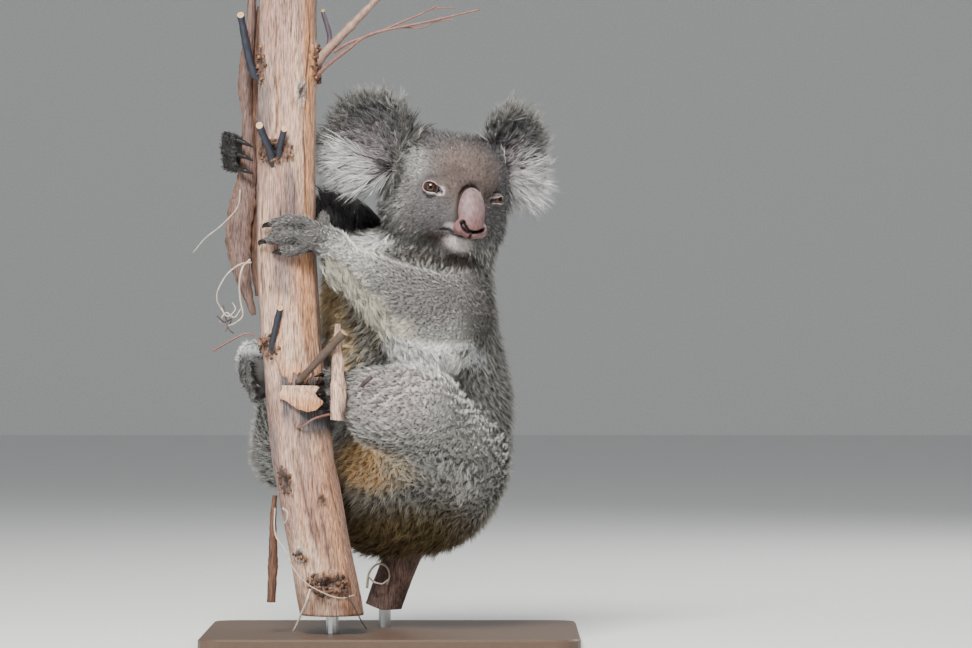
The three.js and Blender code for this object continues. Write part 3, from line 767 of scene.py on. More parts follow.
def coatAt(places, normals):
    # Everything that the coat needs to know at these places
    weights = shares(places)
    onHeadNow = weights[:, -1]
    local = intoHead(places)
    face = faceShare(local)
    count = len(places)
    point = places / mm

    def mixed(column, headValue):
        return weights[:, :-1] @ np.array([plan[column] for plan in limbs.values()]) + onHeadNow * headValue

    length = mixed(4, headPlan["length"] + (headPlan["faceLength"] - headPlan["length"]) * face)
    spacing = mixed(5, headPlan["spacing"] + (headPlan["faceSpacing"] - headPlan["spacing"]) * face)
    lean = np.radians(mixed(6, headPlan["lean"]))
    # short velvet round the mouth, the eyes and the chin
    velvet = np.exp(-(fromMiddle(local, (0, 58, -34), (28, 30, 24)) ** 3))
    for centre, reach in ((eyePlan["right"], 14), (eyePlan["left"], 14), (facePlan["chin"], 19)):
        velvet = np.maximum(velvet, np.exp(-((np.linalg.norm(local - centre, axis=1) / reach) ** 3)))
    length = length * (1 - 0.5 * velvet * face)

    lie = np.zeros((count, 3))
    for column, name in enumerate(limbs):
        start, end, _ = lineOf(name)
        way = unit(end - start)
        if name in masses[0]:
            # down the trunk, and round to its front
            forwards = -0.25 - 0.9 * ease(-point[:, 0], 5, 45)
            way = np.stack([forwards, np.full(count, -0.15), np.full(count, -1.0)], axis=1)
        elif "hand" not in name and "foot" not in name:
            way = unit(way + np.array((0, 0, -0.35)))
        lie += weights[:, column, None] * way
    fromNose = unit(local - np.array((0, 78, -14)))
    fromNose[:, 1] -= 0.5
    fromNose[:, 2] -= 0.7 * (1 - face)
    lie += onHeadNow[:, None] * outOfHead(unit(fromNose))
    under = ease(-normals[:, 2], 0.5, 0.95) * (1 - onHeadNow)
    lie += under[:, None] * np.array((-0.5, -0.6, 0.0))

    tips, roots = (flatColour(colour, count) for colour in coatColours["grey"])
    marked(point, bodyMarks, tips, roots)
    headTips, headRoots = (flatColour(colour, count) for colour in coatColours["cheek"])
    marked(local, headMarks, headTips, headRoots)
    for side in ("right", "left"):
        own = (local - eyePlan[side]) @ eyePlan[side + "Axes"].T
        share = openingShare(own[:, 0], own[:, 1], side)
        near = (own[:, 2] > 0) & (np.hypot(own[:, 0], own[:, 1]) < 20)
        inner = ease(own[:, 0] - 1.2 * own[:, 1], 3, 11)
        for colour, amount in (
            ("lid", 1 - ease(share, 1.08, 1.34)),
            ("lidPale", inner * (1 - ease(share, 1.12, 1.5)) * (1.0 if side == "right" else 0.35)),
            ("lidEdge", 1 - ease(share, 1.0, 1.06)),
        ):
            dye(headTips, headRoots, colour, near * amount)
    # painted shade along the mouth line and in the crease round the nose
    lips = 0.95 * ease(local[:, 1], 30, 40) * np.exp(-(((local[:, 2] - mouthLine(local)) / 1.25) ** 2))
    lips *= 1 - ease(np.abs(local[:, 0]), 22, 28)
    dye(headTips, headRoots, "noseShade", np.maximum(lips, noseEdge(local)))
    owned = ease(onHeadNow, 0.25, 0.75)[:, None]
    tips += owned * (headTips - tips)
    roots += owned * (headRoots - roots)
    fluff = ease(point[:, 2], 316, 330) * (1 - ease(point[:, 2], 372, 388)) * (point[:, 0] < -110)
    digit = digitShare(weights) * (1 - fluff)
    dye(tips, roots, "handGrey", digit)
    # painted shade: the far hand, round the back of the stem, is darkened
    farColumns = [names.index(name) for name in digitNames if name.startswith("hand_right")]
    farHandShade = weights[:, farColumns].sum(axis=1, keepdims=True)
    tips *= 1 - 0.75 * farHandShade
    roots *= 1 - 0.75 * farHandShade

    ear = np.zeros(count)
    for side, sign in (("right", -1), ("left", 1)):
        share, inEar, reach = earShare(places, side)
        outward = unit(local - np.array(earPlan[side]["root"]))
        front = ease((outOfHead([(0, 1, 0)]) * normals).sum(axis=1), -0.1, 0.4)
        lie = lie * (1 - share[:, None]) + share[:, None] * outOfHead(outward)
        length = length * (1 - share) + share * (13 + 8 * ease(reach, 0.7, 1.0) - 3 * front)
        spacing = spacing * (1 - share) + share * 3.0
        lean = lean * (1 - share) + share * np.radians(24)
        inside = share * front * (1 - ease(reach, 0.80, 1.0))
        skinny = inside * np.exp(-((np.hypot(inEar[:, 0] - 4 * sign, inEar[:, 2] + 2) / 17) ** 2))
        low = share * front * ease(-inEar[:, 2], 16, 34)
        for colour, amount in (
            ("grey", share),
            ("rim", share * ease(reach, 0.6, 0.9)),
            ("earDark", inside),
            ("earSkin", 0.8 * skinny),
            ("white", 0.2 * low),
        ):
            dye(tips, roots, colour, amount)
        ear = np.maximum(ear, share)
    lie -= normals * (lie * normals).sum(axis=1, keepdims=True)
    return {
        "lie": unit(lie),
        "length": length,
        "spacing": spacing,
        "lean": lean,
        "tips": tips,
        "roots": roots,
        "head": onHeadNow,
        "face": face * onHeadNow * (1 - ear),
        "ear": ear,
        "digit": digit,
        "weights": weights,
    }


# ---- planting the tufts

tuftPlan = {
    "seed": 11,
    "patch": 0.003,  # how much of the unwrap each tuft is drawn on
    "sunk": 0.0008,
    "mostFaces": 190000,
    "candidates": 230000,
    "wider": 1.0,
    "gather": 0.4,
    "sway": 0.35,
    "bow": 0.09,
}


def unwrapSkin(piece):
    editAll(piece, bpy.ops.uv.smart_project, angle_limit=math.radians(66), island_margin=0.002)
    piece.data.uv_layers.active.name = "OFBake"


class Ground:
    # The skin's triangles, ready to be sown
    def __init__(self, piece):
        mesh = piece.data
        mesh.calc_loop_triangles()
        count = len(mesh.loop_triangles)
        self.corners = np.empty(count * 3, dtype=np.int32)
        mesh.loop_triangles.foreach_get("vertices", self.corners)
        self.corners = self.corners.reshape(-1, 3)
        loops = np.empty(count * 3, dtype=np.int32)
        mesh.loop_triangles.foreach_get("loops", loops)
        flat = np.empty(len(mesh.loops) * 2)
        mesh.uv_layers["OFBake"].data.foreach_get("uv", flat)
        self.flat = flat.reshape(-1, 2)[loops.reshape(-1, 3)]
        self.places, self.normals, self.hollow = placesOf(piece), normalsOf(piece), hollows(piece)
        first, second, third = self.places[self.corners].transpose(1, 0, 2)
        self.areas = np.linalg.norm(np.cross(second - first, third - first), axis=1) / 2

    def sow(self, count, seed):
        # Random places with their normals, their places on the unwrap and their depth in a fold
        draw = np.random.default_rng(seed)
        shareSum = np.cumsum(self.areas) / self.areas.sum()
        chosen = np.searchsorted(shareSum, draw.random(count))
        chosen = np.minimum(chosen, len(self.areas) - 1)
        u, w = draw.random((2, count))
        over = u + w > 1
        u[over], w[over] = 1 - u[over], 1 - w[over]
        weights = np.stack([1 - u - w, u, w], axis=1)[:, :, None]
        corners = self.corners[chosen]
        return (
            (self.places[corners] * weights).sum(axis=1),
            unit((self.normals[corners] * weights).sum(axis=1)),
            (self.flat[chosen] * weights).sum(axis=1),
            (self.hollow[corners] * weights[:, :, 0]).sum(axis=1),
        )


def treeOf(places):
    tree = kdtree.KDTree(len(places))
    for index, place in enumerate(places):
        tree.insert(place, index)
    tree.balance()
    return tree


def thinned(places, spacing):
    # Keeps places that stand at least their spacing apart
    tree = treeOf(places)
    blocked = np.zeros(len(places), dtype=bool)
    kept = []
    for index, place in enumerate(places):
        if blocked[index]:
            continue
        kept.append(index)
        for _, near, _ in tree.find_range(place, spacing[index]):
            blocked[near] = True
    return np.array(kept)


def meshFrom(name, places, triangles):
    mesh = bpy.data.meshes.new(name)
    mesh.vertices.add(len(places))
    mesh.vertices.foreach_set("co", np.ascontiguousarray(places, dtype=np.float32).ravel())
    mesh.loops.add(triangles.size)
    mesh.loops.foreach_set("vertex_index", np.ascontiguousarray(triangles, dtype=np.int32).ravel())
    mesh.polygons.add(len(triangles))
    mesh.polygons.foreach_set("loop_start", np.arange(0, triangles.size, 3, dtype=np.int32))
    mesh.update(calc_edges=True)
    piece = bpy.data.objects.new(name, mesh)
    bpy.context.scene.collection.objects.link(piece)
    return piece


def colourAttribute(piece, name, colours):
    attribute = piece.data.attributes.new(name, "FLOAT_COLOR", "POINT")
    full = np.ones((len(colours), 4), dtype=np.float32)
    full[:, :3] = colours
    attribute.data.foreach_set("color", full.ravel())


def valueAttribute(piece, name, values):
    attribute = piece.data.attributes.new(name, "FLOAT", "POINT")
    attribute.data.foreach_set("value", np.ascontiguousarray(values, dtype=np.float32))


def spotsAt(sown, few, **own):
    # What a tuft needs at each chosen place: a single number goes to all of them
    places, normals, flat, _ = sown
    spots = {"place": places[few], "normal": normals[few], "flat": flat[few]}
    for key, value in own.items():
        spots[key] = np.full(len(few), value) if np.isscalar(value) else value
    return spots


def strandFaces(rings):
    # A closed three-sided spike, point by point from its root to its tip
    faces = [(0, 2, 1)]
    for ring in range(rings - 1):
        for k in range(3):
            a, b = ring * 3 + k, ring * 3 + (k + 1) % 3
            faces += [(a, b, b + 3), (a, b + 3, a + 3)]
    last = (rings - 1) * 3
    return faces + [(last + k, last + (k + 1) % 3, last + 3) for k in range(3)]


def growTufts(name, spots, strands, rings, seed, material):
    # Each spot grows a tuft of strands that lean together
    draw = np.random.default_rng(seed)
    repeated = {key: np.repeat(values, strands, axis=0) for key, values in spots.items()}
    count = len(repeated["place"])
    if not count:
        return
    normal, lie = repeated["normal"], repeated["lie"]
    side = np.cross(normal, lie)

    def perTuft(low, high):
        return np.repeat(draw.uniform(low, high, len(spots["place"])), strands)

    angle = perTuft(-1, 1) * repeated["sway"] + draw.normal(0, 0.09, count)
    way = lie * np.cos(angle)[:, None] + side * np.sin(angle)[:, None]
    lean = repeated["lean"] * perTuft(0.65, 1.35) * draw.uniform(0.9, 1.1, count)
    length = repeated["length"] * perTuft(0.8, 1.2)
    turn, reach = draw.uniform(0, 2 * math.pi, count), np.sqrt(draw.random(count)) * repeated["spread"]
    offset = lie * (np.cos(turn) * reach)[:, None] + side * (np.sin(turn) * reach)[:, None]
    base = repeated["place"] + offset - normal * tuftPlan["sunk"]
    heading = way * np.cos(lean)[:, None] + normal * np.sin(lean)[:, None]
    ownTip = base + heading * (length * draw.uniform(0.75, 1.1, count))[:, None]
    sharedTip = repeated["place"] + heading * length[:, None]
    tip = ownTip + repeated["gather"][:, None] * (sharedTip - ownTip)
    bow = normal * (length * repeated["bow"])[:, None]
    around = np.arange(3) * 2 * math.pi / 3
    columns, alongs = [], []
    for ring in range(rings):
        along = ring / rings
        centre = base + (tip - base) * along + bow * (4 * along * (1 - along))
        ahead = unit(tip - base + bow * (4 - 8 * along))
        across = unit(np.cross(ahead, normal))
        upward = np.cross(across, ahead)
        radius = (repeated["width"] * (1 - 0.62 * along**1.6))[:, None]
        for step in around:
            columns.append(centre + radius * (across * math.cos(step) + upward * 0.7 * math.sin(step)))
            alongs.append(along)
    columns.append(tip)
    alongs.append(1.0)
    perStrand = len(columns)
    places = np.stack(columns, axis=1).reshape(-1, 3)
    firsts = np.arange(count)[:, None, None] * perStrand
    triangles = (firsts + np.array(strandFaces(rings))[None]).reshape(-1, 3)
    piece = meshFrom(name, places, triangles)
    colourAttribute(piece, "coatTip", np.repeat(repeated["tip"], perStrand, axis=0))
    colourAttribute(piece, "coatRoot", np.repeat(repeated["root"], perStrand, axis=0))
    valueAttribute(piece, "along", np.tile(alongs, count))
    valueAttribute(piece, "tuft", np.repeat(perTuft(0, 1), perStrand))
    valueAttribute(piece, "strand", np.repeat(draw.random(count), perStrand))
    sideways = np.tile([(k % 3) / 2 - 0.5 for k in range(perStrand - 1)] + [0.0], count)
    flat = np.repeat(repeated["flat"], perStrand, axis=0)
    flat[:, 0] += sideways * tuftPlan["patch"]
    flat[:, 1] += (np.tile(alongs, count) - 0.5) * tuftPlan["patch"]
    layer = piece.data.uv_layers.new(name="OFBake")
    layer.data.foreach_set("uv", flat[triangles.ravel()].astype(np.float32).ravel())
    smoothed(piece)
    keep(piece, "coat", material)


coatAreas = {
    # piece: (the limbs it covers, strands to a tuft, rings to a strand)
    "coatHead": (("head",), 5, 1),
    "coatHeadBack": (("headBack",), 7, 1),
    "coatEars": (("ears",), 5, 2),
    "coatTrunk": (("neck", "chest", "belly"), 7, 1),
    "coatRump": (("rump", "seat"), 7, 1),
    "coatArmLeft": (("upper_arm_left", "forearm_left"), 7, 1),
    "coatArmRight": (("upper_arm_right", "forearm_right"), 7, 1),
    "coatLegLeft": (("thigh_left", "shank_left"), 8, 1),
    "coatLegRight": (("thigh_right", "shank_right"), 7, 1),
    "coatDigits": (digitNames, 4, 1),
}


def bareSkin(places, normals, weights):
    # Where nothing grows: the nose, the rims and balls of the eyes, and the palms
    local = intoHead(places)
    bare = fromMiddle(local, (0, 66, -15), (17.5, 30, 31)) < 1
    for centre in (eyePlan["right"], eyePlan["left"]):
        bare |= fromMiddle(local, centre, (9.6, 14, 8.0)) < 1
    gripping = (normals * toStem(places)).sum(axis=1) > 0.45
    bare |= gripping & (digitShare(weights) > 0.5)
    return bare


clumpPlan = {
    # how strongly the wool draws together, and how wide its clumps are in millimetres
    "wide": 8.5,
    "strength": {"thigh_left": 1.0, "shank_left": 0.8, "rump": 0.9, "seat": 0.8, "belly": 0.7, "chest": 0.6},
    "otherwise": 0.45,
    "seed": 31,
}
hollowRounds = 14  # how far the skin is evened out to find its folds


def hollows(piece):
    # How deep each point of the skin lies in a fold, in millimetres
    rough = placesOf(piece)
    smoothOver(piece, hollowRounds)
    even = placesOf(piece)
    setPlaces(piece, rough)
    return np.clip(((even - rough) * normalsOf(piece)).sum(axis=1) / mm, 0, 3)


def clumped(places, weights, face):
    # The way to each place's clump, how near a gap between two clumps it is, and how much it clumps
    wide = clumpPlan["wide"] * mm
    draw = np.random.default_rng(clumpPlan["seed"])
    order = draw.permutation(len(places))
    uneven = wide * draw.uniform(0.75, 1.35, len(places))
    centres = places[order[thinned(places[order], uneven)]]
    tree = treeOf(centres)
    way, gap = np.zeros_like(places), np.zeros(len(places))
    for index, place in enumerate(places):
        (first, _, near), (_, _, far) = tree.find_n(place, 2)
        way[index] = np.array(first) - place
        gap[index] = 1 - min((far - near) / (0.3 * wide), 1)
    strength = np.full(len(limbs) + 1, clumpPlan["otherwise"])
    for name, value in clumpPlan["strength"].items():
        strength[names.index(name)] = value
    amount = (weights @ strength) * (1 - 0.5 * face)
    return way / wide, gap * amount, amount


def shadeOf(places, known, gap, hollow):
    # How light or dark each tuft is: painted shade between clumps, in folds and in the skin's hollows, and
    # never quite even
    fine, point = known["face"], places / mm
    draw = np.random.default_rng(47)
    crease = creaseShare(places, known["weights"]) * (1 - known["ear"]) * (1 - fine)
    # painted shade in the gaps between clumps and along the folds between limbs
    shade = (1.16 - 0.95 * gap) * (1 - 0.35 * crease) * np.exp(draw.normal(0, 0.16 + 0.16 * fine))
    # painted shade deep in the skin's hollows, strongest on the digits
    shade *= np.exp(-(0.5 + 3.0 * known["digit"]) * hollow * (1 - fine))
    shade *= 1 + 0.13 * ripple(point, 26, 5)
    shade *= 1 + (0.08 + 0.22 * known["head"]) * ripple(point, 7, 77)
    shade *= 1 + 0.3 * fine * ripple(point, 3.6, 78)
    pale = ease(known["tips"].mean(axis=1), 0.6, 0.85)
    return shade + 0.7 * pale * (1 - shade)


def plantCoat(ground, material):
    sown = ground.sow(tuftPlan["candidates"], tuftPlan["seed"])
    places, normals, _, hollow = sown
    known = coatAt(places, normals)
    grow = ~bareSkin(places, normals, known["weights"])
    spacing = known["spacing"] * mm * tuftPlan["wider"]
    chosen = np.flatnonzero(grow)[thinned(places[grow], spacing[grow])]
    stage(f"{len(chosen)} tufts")
    known = {key: values[chosen] for key, values in known.items()}
    places, spacing, fine = places[chosen], spacing[chosen], known["face"]
    owner = np.array(names + ["head"])[known["weights"].argmax(axis=1)]
    owner = np.where((owner == "head") & (fine < 0.35), "headBack", owner)
    owner = np.where(known["ear"] > 0.5, "ears", owner)
    outer = known["lie"] * (0.6 * mm * known["length"] * np.cos(known["lean"]))[:, None]
    drawn, gap, amount = clumped(places + outer, known["weights"], fine)
    shade = shadeOf(places, known, gap, hollow[chosen])[:, None]
    spots = spotsAt(
        sown,
        chosen,
        lie=unit(known["lie"] + 0.9 * amount[:, None] * drawn),
        lean=known["lean"],
        length=known["length"] * (1 - 0.3 * gap) * mm,
        spread=spacing * 0.62,
        width=spacing * (0.10 + 0.03 * fine + 0.05 * known["digit"]),
        gather=tuftPlan["gather"],
        sway=tuftPlan["sway"],
        bow=tuftPlan["bow"],
        tip=known["tips"] * shade,
        root=known["roots"] * shade,
    )
    total = 0
    for number, (name, (members, strands, rings)) in enumerate(coatAreas.items()):
        mine = np.flatnonzero(np.isin(owner, members))
        each = strands * (1 + 6 * (rings - 1) + 3)
        parts = max(1, math.ceil(len(mine) * each / tuftPlan["mostFaces"]))
        # a piece too big to keep whole is shared out by height
        mine = mine[np.argsort(spots["place"][mine, 2], kind="stable")]
        for part, few in enumerate(np.array_split(mine, parts)):
            label = name if parts == 1 else f"{name}{part + 1}"
            own = {key: values[few] for key, values in spots.items()}
            growTufts(label, own, strands, rings, 100 + 10 * number + part, material)
            total += len(few) * each
    stage(f"coat of {total} faces")


# ---- the stem, its knots, loose bark and cut shoots

stemPlan = {
    "low": 38.0,
    "high": 724.0,
    "radii": (35.0, 31.5),
    "sides": 180,
    "rings": 460,
}
stemColours = {
    "cream": (0.55, 0.36, 0.265),
    "pink": (0.33, 0.195, 0.155),
    "lavender": (0.145, 0.112, 0.115),
    "orange": (0.54, 0.25, 0.11),
    "brown": (0.12, 0.055, 0.032),
    "peel": (0.15, 0.092, 0.077),
    "dark": (0.055, 0.034, 0.026),
    "grey": (0.30, 0.27, 0.25),
    # painted shade and shadow on the stem
    "paintedShadeSlate": (0.085, 0.078, 0.083),
    "cutWood": (0.62, 0.47, 0.33),
    "seat": (0.12, 0.072, 0.058),
}
# Each knot: (turn in degrees, height, half width, half height, rise, hollow, colour)
stemKnots = [
    (-42, 185, 9.5, 15, 1.5, 5.0, "dark"),
    (-38, 104, 9, 9, 3.0, 2.5, "grey"),
    (5, 74, 21, 13, 6.5, 3.0, "brown"),
    (34, 605, 8, 15, 1.2, 1.4, "grey"),
    (-21, 541, 20, 14, 4.5, 2.5, "brown"),
    (82, 636, 17, 20, 6.0, 2.0, "brown"),
    (-46, 330, 15, 14, 4.5, 2.0, "brown"),
    (24, 164, 5, 7, 0.8, 1.6, "brown"),
    (-58, 636, 9, 20, 2.2, 1.0, "brown"),
]
# Each crack: (turn, bottom, top, half width in degrees, depth, wander in degrees)
stemCracks = [
    (-20, 548, 700, 0.9, 1.5, 3), (-31, 560, 600, 0.7, 1.0, 2), (10, 640, 724, 0.8, 0.9, 4),
    (46, 420, 724, 1.1, 1.3, 5), (56, 560, 700, 0.9, 1.2, 4), (-12, 440, 520, 0.8, 0.9, 4),
    (4, 440, 525, 0.7, 0.7, 3), (22, 430, 520, 0.8, 0.8, 5), (33, 300, 430, 0.8, 0.6, 4),
    (-8, 90, 230, 1.0, 1.0, 5), (8, 100, 200, 0.8, 0.9, 4), (20, 80, 190, 0.8, 0.8, 4),
    (-4, 110, 165, 1.1, 1.4, 3), (48, 60, 210, 0.9, 0.9, 5), (-60, 330, 480, 1.4, 1.8, 4),
    (-52, 380, 500, 1.1, 1.4, 3), (-70, 120, 300, 1.2, 1.2, 5), (100, 60, 720, 1.2, 1.3, 9),
    (150, 60, 720, 1.3, 1.4, 9), (-110, 60, 720, 1.3, 1.4, 9), (-150, 60, 720, 1.2, 1.3, 9),
    (180, 90, 700, 1.0, 1.2, 9),
]


def routeThrough(places, count):
    # A smooth line through the places, as evenly spaced points
    places = np.asarray(places, dtype=float)
    ends = [2 * places[0] - places[1], 2 * places[-1] - places[-2]]
    full = np.vstack([ends[0], places, ends[1]])
    fine = []
    for k in range(len(places) - 1):
        a, b, c, d = full[k : k + 4]
        for t in np.linspace(0, 1, 24, endpoint=False):
            square, cube = (2 * a - 5 * b + 4 * c - d) * t**2, (3 * b - a - 3 * c + d) * t**3
            fine.append(0.5 * (2 * b + (c - a) * t + square + cube))
    fine = np.array(fine + [places[-1]])
    reach = np.concatenate([[0], np.cumsum(np.linalg.norm(np.diff(fine, axis=0), axis=1))])
    wanted = np.linspace(0, reach[-1], count)
    return np.stack([np.interp(wanted, reach, fine[:, axis]) for axis in range(3)], axis=1)


def tubeFaces(sides, count):
    # Triangles of a closed tube: its rings' points first, then the middles of both ends
    around = np.arange(sides)
    after = (around + 1) % sides
    firsts = np.arange(count - 1)[:, None] * sides
    a, b = firsts + around, firsts + after
    quads = np.stack([a, b, b + sides, a + sides], axis=-1).reshape(-1, 4)
    low, top = np.full(sides, count * sides), (count - 1) * sides
    lowCap = np.stack([after, around, low], axis=1)
    highCap = np.stack([top + around, top + after, low + 1], axis=1)
    return np.vstack([quads[:, [0, 1, 2]], quads[:, [0, 2, 3]], lowCap, highCap])


def sweep(name, middles, sides, widths, thicks, across=None, shape=None, cut=0.12):
    # A closed bar along the middles: widths and thicks are its half sizes at every ring
    count = len(middles)
    ahead = unit(np.gradient(middles, axis=0))
    if across is None:
        start = np.cross(ahead[0], (0.31, 0.52, 0.79))
        across = [unit(start)]
        for step in ahead[1:]:
            last = across[-1] - step * (across[-1] @ step)
            across.append(unit(last))
        across = np.array(across)
    else:
        across = np.tile(np.array(across, dtype=float), (count, 1))
        across = unit(across - ahead * (across * ahead).sum(axis=1, keepdims=True))
    up = np.cross(ahead, across)
    turns = np.arange(sides) * 2 * math.pi / sides
    extra = np.zeros((count, sides)) if shape is None else shape(np.arange(count), turns)
    wide = (np.asarray(widths)[:, None] + extra) * np.cos(turns)
    thick = (np.asarray(thicks)[:, None] + extra) * np.sin(turns)
    rings = middles[:, None] + across[:, None] * wide[..., None] + up[:, None] * thick[..., None]
    # the cut ends have a small bevel
    first, last = middles[0], middles[-1]
    near = first + (rings[0] - first) * (1 - cut) - ahead[0] * cut * 2
    far = last + (rings[-1] - last) * (1 - cut) + ahead[-1] * cut * 2
    rings = np.concatenate([near[None], rings, far[None]])
    places = np.vstack([rings.reshape(-1, 3), first - ahead[0] * cut * 2, last + ahead[-1] * cut * 2])
    return smoothed(meshFrom(name, places * mm, tubeFaces(sides, len(rings))))


def stemRadius(height):
    low, high = stemPlan["radii"]
    return low + (high - low) * np.clip((height - stemPlan["low"]) / 500, 0, 1)


def roundStem(turn, off, height):
    # A place round the stem: turn 0 faces -Y and 90 faces +X
    reach = stemRadius(height) + off
    angle = np.radians(turn)
    x, y = stemMiddle(height) + reach * np.sin(angle), stemY - reach * np.cos(angle)
    return np.stack([x, y, height + 0 * angle], axis=-1)


barkPatches = [
    # Noise that lays a colour on: (colour, strength, stretch, size, seed, none at, all at)
    ("pink", 0.9, 1.3, 52, 9, -0.4, 0.4),
    ("orange", 0.5, 0.7, 11, 41, 0.2, 0.9),
    ("brown", 0.55, 0.5, 7, 43, 0.55, 1.1),
    ("lavender", 0.75, 1.6, 64, 21, 0.25, 0.8),
]


def stemRelief(turn, height):
    # How far the bark rises, and its colour, at each turn and height
    flatPlace = np.stack([np.sin(np.radians(turn)) * 33, np.cos(np.radians(turn)) * 33, height], axis=-1)
    stretched = flatPlace * np.array((1, 1, 0.16))
    wavy = ripple(flatPlace * np.array((1, 1, 0.35)), 70, 3)
    ridges = ripple(stretched, 16, 4)
    fine = ripple(stretched * np.array((1, 1, 0.6)), 5, 6)
    rise = 0.8 * wavy + 0.5 * ridges + 0.25 * fine
    colour = flatColour(stemColours["cream"], len(turn))

    def paint(name, share):
        layOver(colour, stemColours[name], np.clip(share, 0, 1))

    for name, strength, stretch, size, seed, low, high in barkPatches:
        paint(name, strength * ease(ripple(stretched * np.array((1, 1, stretch)), size, seed), low, high))
    # painted shade down the stem's left side
    paint("lavender", 0.8 * ease(-turn, 58, 80) * ease(height, 230, 300))
    bandHere = np.exp(-(((turn - 52 - 5 * ripple(stretched, 60, 2)) / 15) ** 2)) * ease(height, 200, 560)
    paint("orange", 0.8 * bandHere + 0.5 * ease(ripple(stretched, 30, 14), 0.55, 1.0))
    lowOrange = np.exp(-(((turn - 38) / 20) ** 2)) * (1 - ease(height, 150, 330))
    paint("orange", 0.5 * lowOrange)
    # a layer of bark that ends in a torn lip, with the wood under it in shade
    torn = 296 + 5 * np.sin(turn / 5.0) + 3 * np.sin(turn / 2.1 + 1)
    inLayer = ease(turn, -30, -24) * (1 - ease(turn, 58, 72))
    above = ease(height, torn, torn + 2.0)
    rise += 2.0 * inLayer * above * (1 - ease(height, 330, 470))
    paint("orange", 0.7 * inLayer * above * (1 - ease(height, torn + 4, torn + 22)))
    paint("lavender", 0.9 * inLayer * (1 - above) * ease(height, 205, 275))
    # painted shadow under the bark flap
    under = ease(height, 224, 246) * (1 - ease(height, 272, 292))
    paint("paintedShadeSlate", 1.0 * under * ease(turn + 4 * wavy, 0, 9))
    # painted shade on the stem below the near hand
    paintedShadeBeneath = np.exp(-(((turn + 4) / 17) ** 2)) * ease(height, 372, 392) * (1 - ease(height, 418, 436))
    paint("paintedShadeSlate", 0.75 * paintedShadeBeneath * (0.7 + 0.5 * wavy))
    # painted sunlight: a warm lit patch on the stem's front right
    paintedSunlight = np.exp(-(((turn - 34) / 17) ** 2)) * ease(height, 300, 350) * (1 - ease(height, 415, 436))
    paint("orange", 0.75 * paintedSunlight)
    # painted shadow: a slanting dark band below the torn lip
    paintedShadowBand = np.exp(-(((turn + 16 + (290 - height) * 0.12) / 9) ** 2))
    paint("paintedShadeSlate", 0.8 * paintedShadowBand * ease(height, 240, 262) * (1 - above))
    paint("brown", 0.45 * (1 - ease(height, 50, 78)) + 0.3 * ease(height, 690, 724))
    for at, bottom, top, half, depth, wander in stemCracks:
        path = at + wander * np.sin(height / 37 + at) + 0.4 * wander * np.sin(height / 11 + 2 * at)
        here = ease(height, bottom, bottom + 25) * (1 - ease(height, top - 25, top))
        broken = 0.35 + 0.65 * ease(np.sin(height / 17 + at) + np.sin(height / 7.3 + at), -0.8, 0.6)
        gap = np.exp(-(((turn - path) / (2.1 * half)) ** 2)) * here * broken
        rise -= depth * gap
        paint("brown", 1.1 * gap)
    for at, middle, wide, tall, up, hollow, name in stemKnots:
        away = (turn - at + 180) % 360 - 180
        across = np.radians(away) * 33
        rough = 1 + 0.16 * ripple(flatPlace, 9, int(middle))
        far = np.hypot(across / wide, (height - middle) / tall) * rough
        crumbs = ripple(flatPlace, 5.5, int(middle) + 1)
        rise += (up + 1.3 * crumbs) * np.exp(-1.2 * far**4)
        rise -= (hollow + up) * np.exp(-6 * far**2)
        paint(name, (1 - ease(far, 0.75, 1.2)) * (0.8 + 0.4 * crumbs))
        paint("dark", (1 - ease(far, 0.3, 0.7)) * (0.75 + 0.5 * crumbs))
    return rise, colour


def makeStem(material):
    heights = np.linspace(stemPlan["low"], stemPlan["high"], stemPlan["rings"])
    turns = np.linspace(-180, 180, stemPlan["sides"], endpoint=False)
    gridHeight, gridTurn = (grid.ravel() for grid in np.meshgrid(heights, turns, indexing="ij"))
    rise, colour = stemRelief(gridTurn, gridHeight)
    low, high = stemPlan["low"], stemPlan["high"]
    rise -= 1.2 * (ease(low + 1.4 - gridHeight, 0, 1.4) + ease(gridHeight, high - 1.4, high))
    rings = roundStem(gridTurn, rise, gridHeight)
    ends = np.array([(stemMiddle(low), stemY, low), (stemMiddle(high), stemY, high)])
    faces = tubeFaces(stemPlan["sides"], stemPlan["rings"])
    piece = meshFrom("koalaStem", np.vstack([rings, ends]) * mm, faces)
    colourAttribute(piece, "barkTint", np.vstack([colour, flatColour(stemColours["cutWood"], 2)]))
    smoothed(piece)
    keep(piece, "bark", material, "stem")


# Hanging strips: (route, half widths, curl, colour at the edge and in the middle, the node it replaces)
peelPlan = {
    "dark_peel": (
        [
            (-141, -46, 700), (-145, -46, 660), (-147, -45, 620), (-146, -44, 580), (-144, -44, 540),
            (-145, -44, 500), (-146, -45, 460), (-145, -46, 420), (-143, -48, 385),
        ],
        [5, 8, 10, 11, 8, 9, 10, 9, 5],
        2.0, "dark", "brown",
    ),
    "bark_peel": (
        [
            (-151, -55, 712), (-153, -54, 674), (-157, -53, 641), (-159, -52, 614), (-157, -50, 587),
            (-155, -49, 554), (-156, -50, 522), (-161, -54, 489), (-166, -57, 456), (-164, -60, 422),
            (-157, -62, 391), (-149, -62, 364),
        ],
        [5, 5, 7, 8, 6, 7, 9.5, 13.5, 14.5, 12, 7, 3],
        3.0, "brown", "peel",
    ),
    "bark_peel_low": (
        [(-126, -62, 168), (-128, -62, 141), (-128, -62, 98), (-130, -62, 52)],
        [2.5, 4, 5.5, 4.5],
        2.4, "dark", "brown",
    ),
    "bark_ribbon": (
        [(-56, -112, 354), (-56, -113, 331), (-56, -116, 306), (-55, -120, 276), (-57, -120, 251)],
        [3, 5, 7, 9, 6.5],
        2.0, "pink", "cream",
    ),
}


